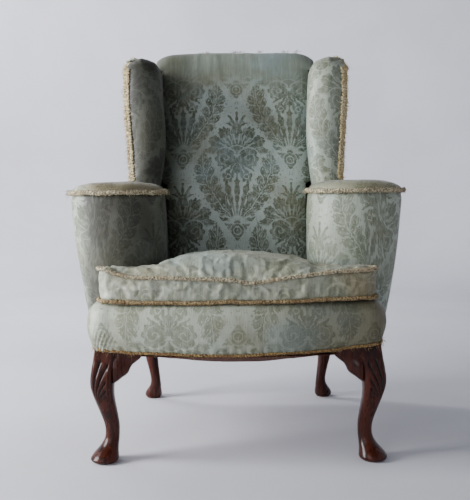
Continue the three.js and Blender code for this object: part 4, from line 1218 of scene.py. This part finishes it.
def ruched(path, up, wide, thick, seed, sides=12, closed=False, frill=0.35, pitch=0.0075):
    """A gathered braid: an oval section carried along a path, its radius times
    1 + frill sin(2 pi s / pitch + noise) where s is the length along it, with ragged lumps."""
    _, side, rise = frames_along(path, up, closed)
    step = np.linalg.norm(np.diff(path, axis=0), axis=1)
    s = np.concatenate([[0], np.cumsum(step)])[:, None]
    turn = np.linspace(0, 2 * np.pi, sides, endpoint=False)[None, :]
    wobble = lumps(path, 60, seed)[:, None]
    wave = np.sin(2 * np.pi * s / pitch + 3.0 * wobble + np.cos(turn) * 0.9)
    around = path[:, None, :] + 0.01 * line_points(np.cos(turn) + 0 * s, np.sin(turn) + 0 * s, 0 * s + 0 * turn)
    ragged = lumps(around, 150, seed + 1)
    radius = 1 + frill * wave * 0.6 + frill * ragged * 0.8
    a = (np.cos(turn) * wide * radius)[..., None] * side[:, None, :]
    b = (np.sin(turn) * thick * radius)[..., None] * rise[:, None, :]
    grid = path[:, None, :] + a + b
    if closed:
        return grid.reshape(-1, 3), ring_faces(len(path), sides)
    return capped(grid)


def ring_faces(rows, columns):
    """The quads of a grid that closes on itself both ways."""
    r = np.arange(rows)[:, None]
    c = np.arange(columns)[None, :]
    r2, c2 = (r + 1) % rows, (c + 1) % columns
    corners = [r * columns + c, r * columns + c2, r2 * columns + c2, r2 * columns + c]
    return np.stack(np.broadcast_arrays(*corners), axis=-1).reshape(-1, 4)


def threads(starts, ways, droop, seed, thick=0.0007, length=0.012, sides=3, joints=5):
    """Frayed threads: each leaves its start along its way, curls, and droops by the square of its length.
    Each is a three-sided tube that tapers to a quarter of its thickness."""
    count = len(starts)
    random = np.random.default_rng(seed)
    size = length * random.uniform(0.4, 1.3, (count, 1, 1))
    bend = random.normal(0, 0.45, (count, 1, 3))
    way = ways / np.maximum(np.linalg.norm(ways, axis=1, keepdims=True), 1e-9)
    t = np.linspace(0, 1, joints)[None, :, None]
    line = starts[:, None] + size * (way[:, None] * t + bend * t ** 2) - [0, 0, 1] * (droop * size * t ** 2)
    along = np.gradient(line, axis=1)
    along /= np.maximum(np.linalg.norm(along, axis=2, keepdims=True), 1e-9)
    other = np.cross(along, np.array([0.31, 0.52, 0.79]))
    other /= np.maximum(np.linalg.norm(other, axis=2, keepdims=True), 1e-9)
    third = np.cross(along, other)
    turn = np.linspace(0, 2 * np.pi, sides, endpoint=False)
    taper = thick * (1 - 0.75 * t)[..., None]
    cosine, sine = np.cos(turn)[:, None], np.sin(turn)[:, None]
    points = line[:, :, None] + (cosine * other[:, :, None] + sine * third[:, :, None]) * taper
    tip = (joints - 1) * sides
    ends = np.array([[0, 2, 1, 1], [tip, tip + 1, tip + 2, tip + 2]])
    one = np.concatenate([quads_of(joints, sides, True), ends])
    faces = (one[None] + (np.arange(count) * joints * sides)[:, None, None]).reshape(-1, 4)
    return points.reshape(-1, 3), faces


def arm_edge(side, outset=0.0045):
    """The line of an arm's braid: from the foot of the wing forward, round the nose and back outside."""
    z = np.array([ARM_TOP])
    x, y = arm_path(z, outset, nose=60, inner=30, back_y=np.array([0.030]))
    x, y = x[0], y[0]
    y_out = np.linspace(-0.09, 0.285, 50)
    x_out = arm_outer_at(y_out, ARM_TOP) + outset
    line = np.column_stack([np.concatenate([x[:-3], x_out]), np.concatenate([y[:-3], y_out])])
    line = resampled(line, 420)
    z = np.full(len(line), ARM_TOP - 0.001)
    z += 0.0016 * lumps(np.column_stack([line, z]), 25, 101 + side)
    return np.column_stack([line[:, 0] * side, line[:, 1], z])


def edge_braid(name, path, up, wide, thick, seed, out, tufts, length=0.011, droop=0.5, closed=False):
    """A ruched braid with frayed threads standing out of it."""
    body = ruched(path, up, wide, thick, seed, closed=closed)
    random = np.random.default_rng(seed)
    pick = random.integers(0, len(path), tufts)
    away = out[pick] if out.ndim == 2 else np.broadcast_to(out, (tufts, 3))
    way = away + random.normal(0, 0.5, (tufts, 3))
    starts = path[pick] + away * wide * 0.6 + random.normal(0, 1, (tufts, 3)) * [0.002, 0.002, 0.003]
    frayed = threads(starts, way, droop, seed + 1, length=length)
    return build(name, joined([body, frayed]))


def outward_of(path, centre):
    """Unit directions from a centre to each point, flattened to a fifth in height."""
    away = path - centre
    away[:, 2] *= 0.2
    return away / np.linalg.norm(away, axis=1, keepdims=True)


def arm_braid(side, name):
    """The frayed braid under an arm's cap, 8 mm wide and 11 mm high."""
    path = arm_edge(side)
    out = outward_of(path, np.array([0.29 * side, -0.05, ARM_TOP]))
    return edge_braid(name, path, [0, 0, 1], 0.0040, 0.0056, 111 + side, out, 300, 0.007)


def wing_edge(side):
    """The line of a wing's braid: up beside the rolled front, over the top and back along it."""
    z = np.linspace(0.660, 0.958, 90)
    x = through(WING_OUTER, z) - 0.0065
    y = through(WING_FRONT, z) + 0.0130
    up = np.column_stack([x, y, z])
    over = np.array([
        [0.298, 0.072, 0.970], [0.291, 0.080, 0.983], [0.286, 0.095, 0.992], [0.283, 0.120, 0.996],
        [0.281, 0.170, 0.997], [0.280, 0.220, 0.997], [0.280, 0.262, 0.997],
    ])
    line = smoothed(resampled(np.concatenate([up, over]), 330), 10)
    return line * [side, 1, 1]


def wing_braid(side, name):
    """The thick fringe beside a wing's front, 8 mm by 22 mm, which turns flat over the wing's top."""
    path = wing_edge(side)
    out = np.broadcast_to(np.array([0.9 * side, -0.6, 0.1]), path.shape).copy()
    out[240:] = [0.6 * side, 0.0, 0.8]
    up = np.broadcast_to(np.array([0.75 * side, 0.65, 0.0]), path.shape)
    up = np.where((np.arange(len(path)) > 250)[:, None], [0.0, 0.0, 1.0], up)
    up = smoothed(up.astype(float), 30)
    return edge_braid(name, path, up, 0.0042, 0.0110, 121 + side, out, 620, 0.008)


def cushion_seam(stations, raise_by, outset, count=760):
    """The line of a seam round the cushion, moved out and up, and its outward directions."""
    outline = cushion_outline(count)
    out = outward_in_plan(np.concatenate([outline, outline[:1]]))[:-1]
    if out[0, 1] > 0:
        out = -out
    place = outline + out * outset
    z = seam_height(stations, outline[:, 0], outline[:, 1]) + raise_by
    return np.column_stack([place, z]), np.column_stack([out, 0 * z])


def cushion_welt(name, stations, raise_by, outset, seed, tufts):
    """A frayed welt round the cushion, drawn 4 mm in and 5 mm down where the arms press on it."""
    path, out = cushion_seam(stations, raise_by, outset)
    behind = ease((path[:, 1:2] + 0.30) / 0.05)
    path[:, 2] += 0.0014 * lumps(path, 30, seed)
    path -= np.column_stack([out[:, :2] * 0.004, np.full(len(path), 0.005)]) * behind
    return edge_braid(name, path, [0, 0, 1], 0.0042, 0.0046, seed, out, tufts, 0.008, closed=True)


def seat_gimp():
    """The flat worn gimp along the bottom of the seat's front."""
    outline = seat_outline(560)
    out = outward_in_plan(outline)
    if out[280, 1] > 0:
        out = -out
    place = outline + out * -0.0095
    z = RAIL_BOTTOM + 0.002 + foot_rise(outline[:, 0])
    z += 0.0022 * lumps(np.column_stack([place, z]), 22, 131)
    path = np.column_stack([place, z])
    out = np.column_stack([out, -0.3 + 0 * z])
    return edge_braid("seat_gimp", path, [0, 0, 1], 0.0016, 0.0032, 132, out, 150, 0.006, 1.0)


# ---- Underside ----

def hang(x, y):
    """How far the bottom cloth hangs, from 0 at its edges to 1: ((1 - x^2) (1 - y^2))^0.8 in half sizes."""
    across = np.clip(1 - (x / 0.285) ** 2, 0, 1)
    along = np.clip(1 - ((y + 0.035) / 0.262) ** 2, 0, 1)
    return (across * along) ** 0.8


def bottom_cloth():
    """The cloth tacked under the rails, hanging by 56 mm in its middle."""
    v = np.linspace(0, 1, 70)[:, None]
    u = np.linspace(-1, 1, 76)[None, :]
    wide = mix(0.296, 0.262, v)
    x = u * wide
    y = mix(-0.298 - 0.034 * (1 - u ** 2), 0.250, v)
    deep = hang(x, y)
    grid = line_points(x, y, RAIL_BOTTOM - 0.0075 - 0.056 * deep)
    grid[..., 2] -= 0.004 * lumps(grid, 9, 141) * deep ** 0.5 + 0.002 * creases(grid, 22, 142, 3) * deep ** 0.5
    made = covering("sagging_bottom_cloth", grid, grid - [0, 0, 0.0013])
    return made


# ---- Legs ----

# Rings of the legs from the floor up: height in metres; how far the middle swings out and half the
# width, in millimetres; and the power of the superellipse, 2 for a circle.
FRONT_LEG = [
    (0.0, 7.5, 24.5, 2), (0.0035, 8, 30, 2), (0.008, 8, 33, 2), (0.015, 6.5, 31.5, 2), (0.026, 2.5, 26.5, 2),
    (0.038, -3, 21, 2), (0.052, -7.5, 17.6, 2), (0.068, -9, 16.8, 2), (0.087, -8, 17.8, 2),
    (0.106, -4.5, 19.2, 2.2), (0.126, 0, 21, 2.4), (0.146, 4.5, 22.8, 2.6), (0.165, 8, 25, 3),
    (0.182, 9.5, 27.2, 3.2), (0.200, 9, 28.5, 3.4), (0.222, 6, 28.5, 4), (0.245, 2, 27.2, 7),
    (0.262, 0, 26, 10), (0.337, 0, 26, 12),
]
FRONT_LEG_PLACE = (0.308, -0.288)  # middles of the legs' tops
REAR_LEG_PLACE = (0.256, 0.240)
REAR_SPLAY = 0.022  # how far the rear feet stand behind their tops
REAR_LEG = [
    (0.0, 4.5, 19.5, 2), (0.005, 5, 24, 2), (0.011, 5, 25.5, 2), (0.020, 3.5, 23.8, 2), (0.030, 0.5, 20, 2),
    (0.042, -3, 16.4, 2), (0.056, -3.5, 14.6, 2), (0.074, -1.5, 14.8, 2), (0.096, 2.5, 16, 2.2),
    (0.122, 7, 18.2, 2.4), (0.155, 9.5, 20, 2.6), (0.190, 9, 21, 3), (0.225, 6, 21.5, 4), (0.255, 1, 21.5, 6),
    (0.262, 0, 20, 10), (0.337, 0, 20, 12),
]


def leg(name, stations, place, side, forward, splay, carved):
    """A cabriole leg: level rings, each a superellipse |x|^p + |y|^p = r^p of its own size and squareness,
    whose middles swing out along the diagonal and back."""
    x0, y0 = place
    levels = np.array([s[0] for s in stations])
    z = np.sort(np.concatenate([np.linspace(0, 0.337, 180 if carved else 90), levels[:5]]))
    out, half, power = (through([(s[0], s[k]) for s in stations], z)[:, None] for k in (1, 2, 3))
    z = z[:, None]
    turn = np.linspace(0, 2 * np.pi, 180 if carved else 72, endpoint=False)[None, :]
    c, s = np.cos(turn), np.sin(turn)
    reach = half / (np.abs(c) ** power + np.abs(s) ** power) ** (1 / power) / 1000
    push = out / 1000
    lean = splay * np.clip(1 - z / RAIL_BOTTOM, 0, 1)
    x = x0 + push + c * reach
    y = y0 + forward * push + s * reach + lean
    grid = line_points(x, y, np.broadcast_to(z, x.shape))
    # The third stored number at each point is the share of painted shade in the shell's grooves.
    groove_shade = np.zeros(grid.shape)
    if carved:
        grid, groove_shade[..., 2] = shell(grid, x0 + push, y0 + forward * push, forward)
    grid = grid * [side, 1, 1]
    return build(name, capped(grid), np.concatenate([groove_shade.reshape(-1, 3), np.zeros((2, 3))]))


def shell(grid, x, y, forward):
    """A carved shell round the knee's outer corner: sharp grooves up to 5 mm deep, as |sin(15.5 a)|^0.55 of
    the angle a at which they spread from a point below it, inside a standing edge. Gives the carved grid
    and how deep each point lies in the grooves, from 0 to 1, which sets the painted shade in them."""
    normal = facing(grid, True)
    away = grid - line_points(x, y, 0 * x)
    away[..., 2] = 0
    if (normal * away).sum() < 0:
        normal = -normal
    ahead = (away[..., 0] + forward * away[..., 1]) / math.sqrt(2)
    sideways = (away[..., 1] - forward * away[..., 0]) / math.sqrt(2)
    arc = 0.031 * np.arctan2(sideways, ahead)
    up = grid[..., 2] - 0.140
    spread = np.arctan2(np.abs(arc), np.maximum(up, 0.001))
    reach = np.hypot(arc, up)
    edge = 0.108 * (1 - 0.12 * (spread / 0.9) ** 2)
    inside = ease((0.0385 - np.abs(arc)) / 0.0022) * ease((reach - 0.010) / 0.014) * ease((edge - reach) / 0.004)
    inside = inside * ease((1.22 - spread) / 0.06)
    flutes = np.abs(np.sin(spread * 15.5 * (1 - 0.10 * spread) + 0.8)) ** 0.55
    depth = 0.0046 * (flutes - 1.0) * ease(reach / 0.06) - 0.0006
    return grid + normal * (depth * inside)[..., None], ease((0.80 - flutes) / 0.5) * inside


# The scalloped edge of a knee bracket: away from the leg and down from the rail, in metres.
EAR_OUTLINE = [
    (0.062, 0), (0.059, -0.008), (0.053, -0.016), (0.044, -0.023), (0.036, -0.029), (0.031, -0.037),
    (0.027, -0.047), (0.021, -0.053), (0.011, -0.059), (0.003, -0.065), (-0.007, -0.072),
]


def ear(name, side, front):
    """The scalloped bracket beside a knee, 11 mm (1 - s^8)^0.5 thick each way from the leg's edge to the
    bracket's own, for s from 0 to 1, with its face swelling by 10 mm more where it meets the knee."""
    line = resampled(smoothed(resampled(np.array(EAR_OUTLINE), 80), 3), 80)
    share = np.linspace(0, 1, 22)[None, :]
    away = mix(-0.006, line[:, :1], share)
    down = mix(0.012, line[:, 1:], share)
    thick = 0.011 * (1 - share ** 8) ** 0.5
    front_face = -thick - 0.010 * np.exp(-(np.maximum(away, 0) / 0.016) ** 2) * ease((-0.008 - down) / 0.03)
    top = RAIL_BOTTOM - 0.0003
    # Where it meets the leg, and the plane in its middle: half its thickness inside the rail's face.
    if front:
        start, face = 0.2817, -0.314 + 0.0115
        grids = [line_points(start - away, face + t, top + down) for t in (front_face, thick)]
    else:
        start, face = -0.2617, 0.334 - 0.0115
        grids = [line_points(face - t, start + away, top + down) for t in (front_face, thick)]
    mirror = np.array([side, 1, 1])
    return build(name, slab(grids[0] * mirror, grids[1] * mirror))


def crest_frays():
    """Threads that stand out of the worn top edge of the back, in a few tufts."""
    random = np.random.default_rng(171)
    count = 90
    tufts = np.array([-0.09, 0.0, 0.018, 0.075, 0.15, 0.185])
    x = tufts[random.integers(0, len(tufts), count)] + random.normal(0, 0.006, count)
    starts = line_points(x, 0.312 + random.normal(0, 0.004, count), 1.0500)
    ways = random.normal(0, 0.7, (count, 3)) + [0, -0.3, 1.0]
    return build("crest_frays", threads(starts, ways, 0.4, 172, length=0.008))


# ---- Making the chair ----

for side, word in SIDE_NAME.items():
    arm_cover, wing_cover, cap = (damask, torn_wing, faded) if side > 0 else (shaded_arm, shaded_wing, shaded_cap)
    finish_piece(arm_pad(side, f"arm_cover_{word}"), f"arm_pad_{word}", arm_cover)
    finish_piece(outside_arm(side, f"outside_arm_cover_{word}"), f"outside_arm_{word}", damask)
    finish_piece(arm_top(side, f"arm_cap_{word}"), f"arm_top_{word}", cap)
    finish_piece(arm_braid(side, f"arm_edging_{word}"), f"arm_braid_{word}", welt_braid)
    finish_piece(wing_pad(side, f"wing_cover_{word}"), f"wing_pad_{word}", wing_cover)
    finish_piece(outside_wing(side, f"outside_wing_cover_{word}"), f"outside_wing_{word}", damask)
    finish_piece(wing_braid(side, f"wing_edging_{word}"), f"wing_braid_{word}", pale_braid)
    front = leg(f"carved_leg_{word}", FRONT_LEG, FRONT_LEG_PLACE, side, -1, 0, True)
    finish_piece(front, f"front_leg_{word}", polished)
    rear = leg(f"back_leg_{word}", REAR_LEG, REAR_LEG_PLACE, side, 1, REAR_SPLAY, False)
    finish_piece(rear, f"rear_leg_{word}", polished)
    for place, is_front in (("front", True), ("side", False)):
        bracket = ear(f"knee_bracket_{place}_{word}", side, is_front)
        finish_piece(bracket, f"{place}_knee_ear_{word}", polished)

finish_piece(back_pad(), "back_pad", back_damask)
finish_piece(crest_frays(), "back_pad", braid)
finish_piece(outside_back(), "outside_back", damask)
finish_piece(seat_border(), "seat_pad", border_damask)
finish_piece(deck(), "seat_pad", damask)
finish_piece(seat_gimp(), "seat_braid", old_gimp)
finish_piece(cushion(), "cushion", faded)
top_welt = cushion_welt("cushion_top_welt", TOP_SEAM, 0.002, 0.003, 151, 260)
finish_piece(top_welt, "cushion_welt_top", welt_braid)
low_welt = cushion_welt("cushion_bottom_welt", BOTTOM_SEAM, -0.001, 0.003, 155, 160)
finish_piece(low_welt, "cushion_welt_bottom", braid)
finish_piece(bottom_cloth(), "bottom_cloth", bottom_cloth_finish)

FRAME_FINISHES = {"frame_wood": frame_wood, "jute": jute, "spring_steel": steel}
for part in frame["record"]["subparts"]:
    if part["material_slot"] in FRAME_FINISHES:
        node = frame["nodes"][part["node"]]
        node.data.materials.clear()
        node.data.materials.append(FRAME_FINISHES[part["material_slot"]])


# ---- Stage, lights and camera ----

def studio():
    """A pale round floor that sweeps up into a wall: level out to 2.9 m, then a quarter circle of 0.9 m
    and a wall up to 4 m."""
    sides, below_feet, level, sweep = 96, 0.0002, 2.9, 0.9
    turn = np.linspace(0, np.pi / 2, 14)[1:]
    radius = np.concatenate([[0.02, 1.0, 2.0, level], level + sweep * np.sin(turn), [level + sweep] * 2])
    height = np.concatenate([[0, 0, 0, 0], sweep * (1 - np.cos(turn)), [2.2, 4.0]])
    around = np.linspace(0, 2 * np.pi, sides, endpoint=False)[None, :]
    radius, height = radius[:, None], height[:, None] - below_feet
    points = line_points(radius * np.cos(around), radius * np.sin(around), height).reshape(-1, 3)
    faces = quads_of(len(radius), sides, True)
    mesh = bpy.data.meshes.new("studio")
    ring = np.arange(sides)
    fan = np.stack([np.full(sides, len(points)), ring, np.roll(ring, -1)], 1)
    mesh.from_pydata([*points.tolist(), [0, 0, -below_feet]], [], [*faces[:, ::-1].tolist(), *fan.tolist()])
    mesh.polygons.foreach_set("use_smooth", np.ones(len(mesh.polygons), bool))
    made = bpy.data.objects.new("studio", mesh)
    bpy.context.scene.collection.objects.link(made)
    mesh.materials.append(plain_finish("pale_floor", srgb(196, 196, 202), srgb(204, 204, 210), 1.5, 0.9))


def lamp(name, place, aim, size, watts, colour=(1, 1, 1)):
    """A rectangular light at a place, turned so that it shines at a point."""
    light = bpy.data.lights.new(name, "AREA")
    light.shape = "RECTANGLE"
    light.size, light.size_y = size
    light.energy = watts
    light.color = colour
    made = bpy.data.objects.new(name, light)
    made.location = place
    way = np.array(aim, float) - np.array(place, float)
    made.rotation_euler = (
        math.atan2(math.hypot(way[0], way[1]), -way[2]), 0, math.atan2(way[1], way[0]) - math.pi / 2)
    bpy.context.scene.collection.objects.link(made)


studio()
lamp("window", (-2.5, -0.62, 1.20), (0.0, -0.05, 0.60), (1.1, 1.5), 165, (0.97, 0.985, 1.0))
lamp("fill", (-1.4, -2.9, 1.6), (0.15, 0.0, 0.6), (1.6, 1.6), 22, (0.95, 0.97, 1.0))
lamp("wall_wash", (-1.9, 1.3, 2.6), (-1.3, 3.6, 1.0), (2.0, 0.8), 150, (0.95, 0.96, 1.0))

world = bpy.data.worlds.new("studio_air")
world.use_nodes = True
world.node_tree.nodes["Background"].inputs[0].default_value = (0.80, 0.84, 0.92, 1)
world.node_tree.nodes["Background"].inputs[1].default_value = 0.14
bpy.context.scene.world = world

camera = bpy.data.cameras.new("camera")
camera.lens = 55.5
camera.sensor_width = 36
holder = bpy.data.objects.new("camera", camera)
holder.location = (0.0, -2.07, 0.64)
holder.rotation_euler = (math.radians(90 - 4.6), math.radians(0.55), math.radians(0.10))
bpy.context.scene.collection.objects.link(holder)
bpy.context.scene.camera = holder
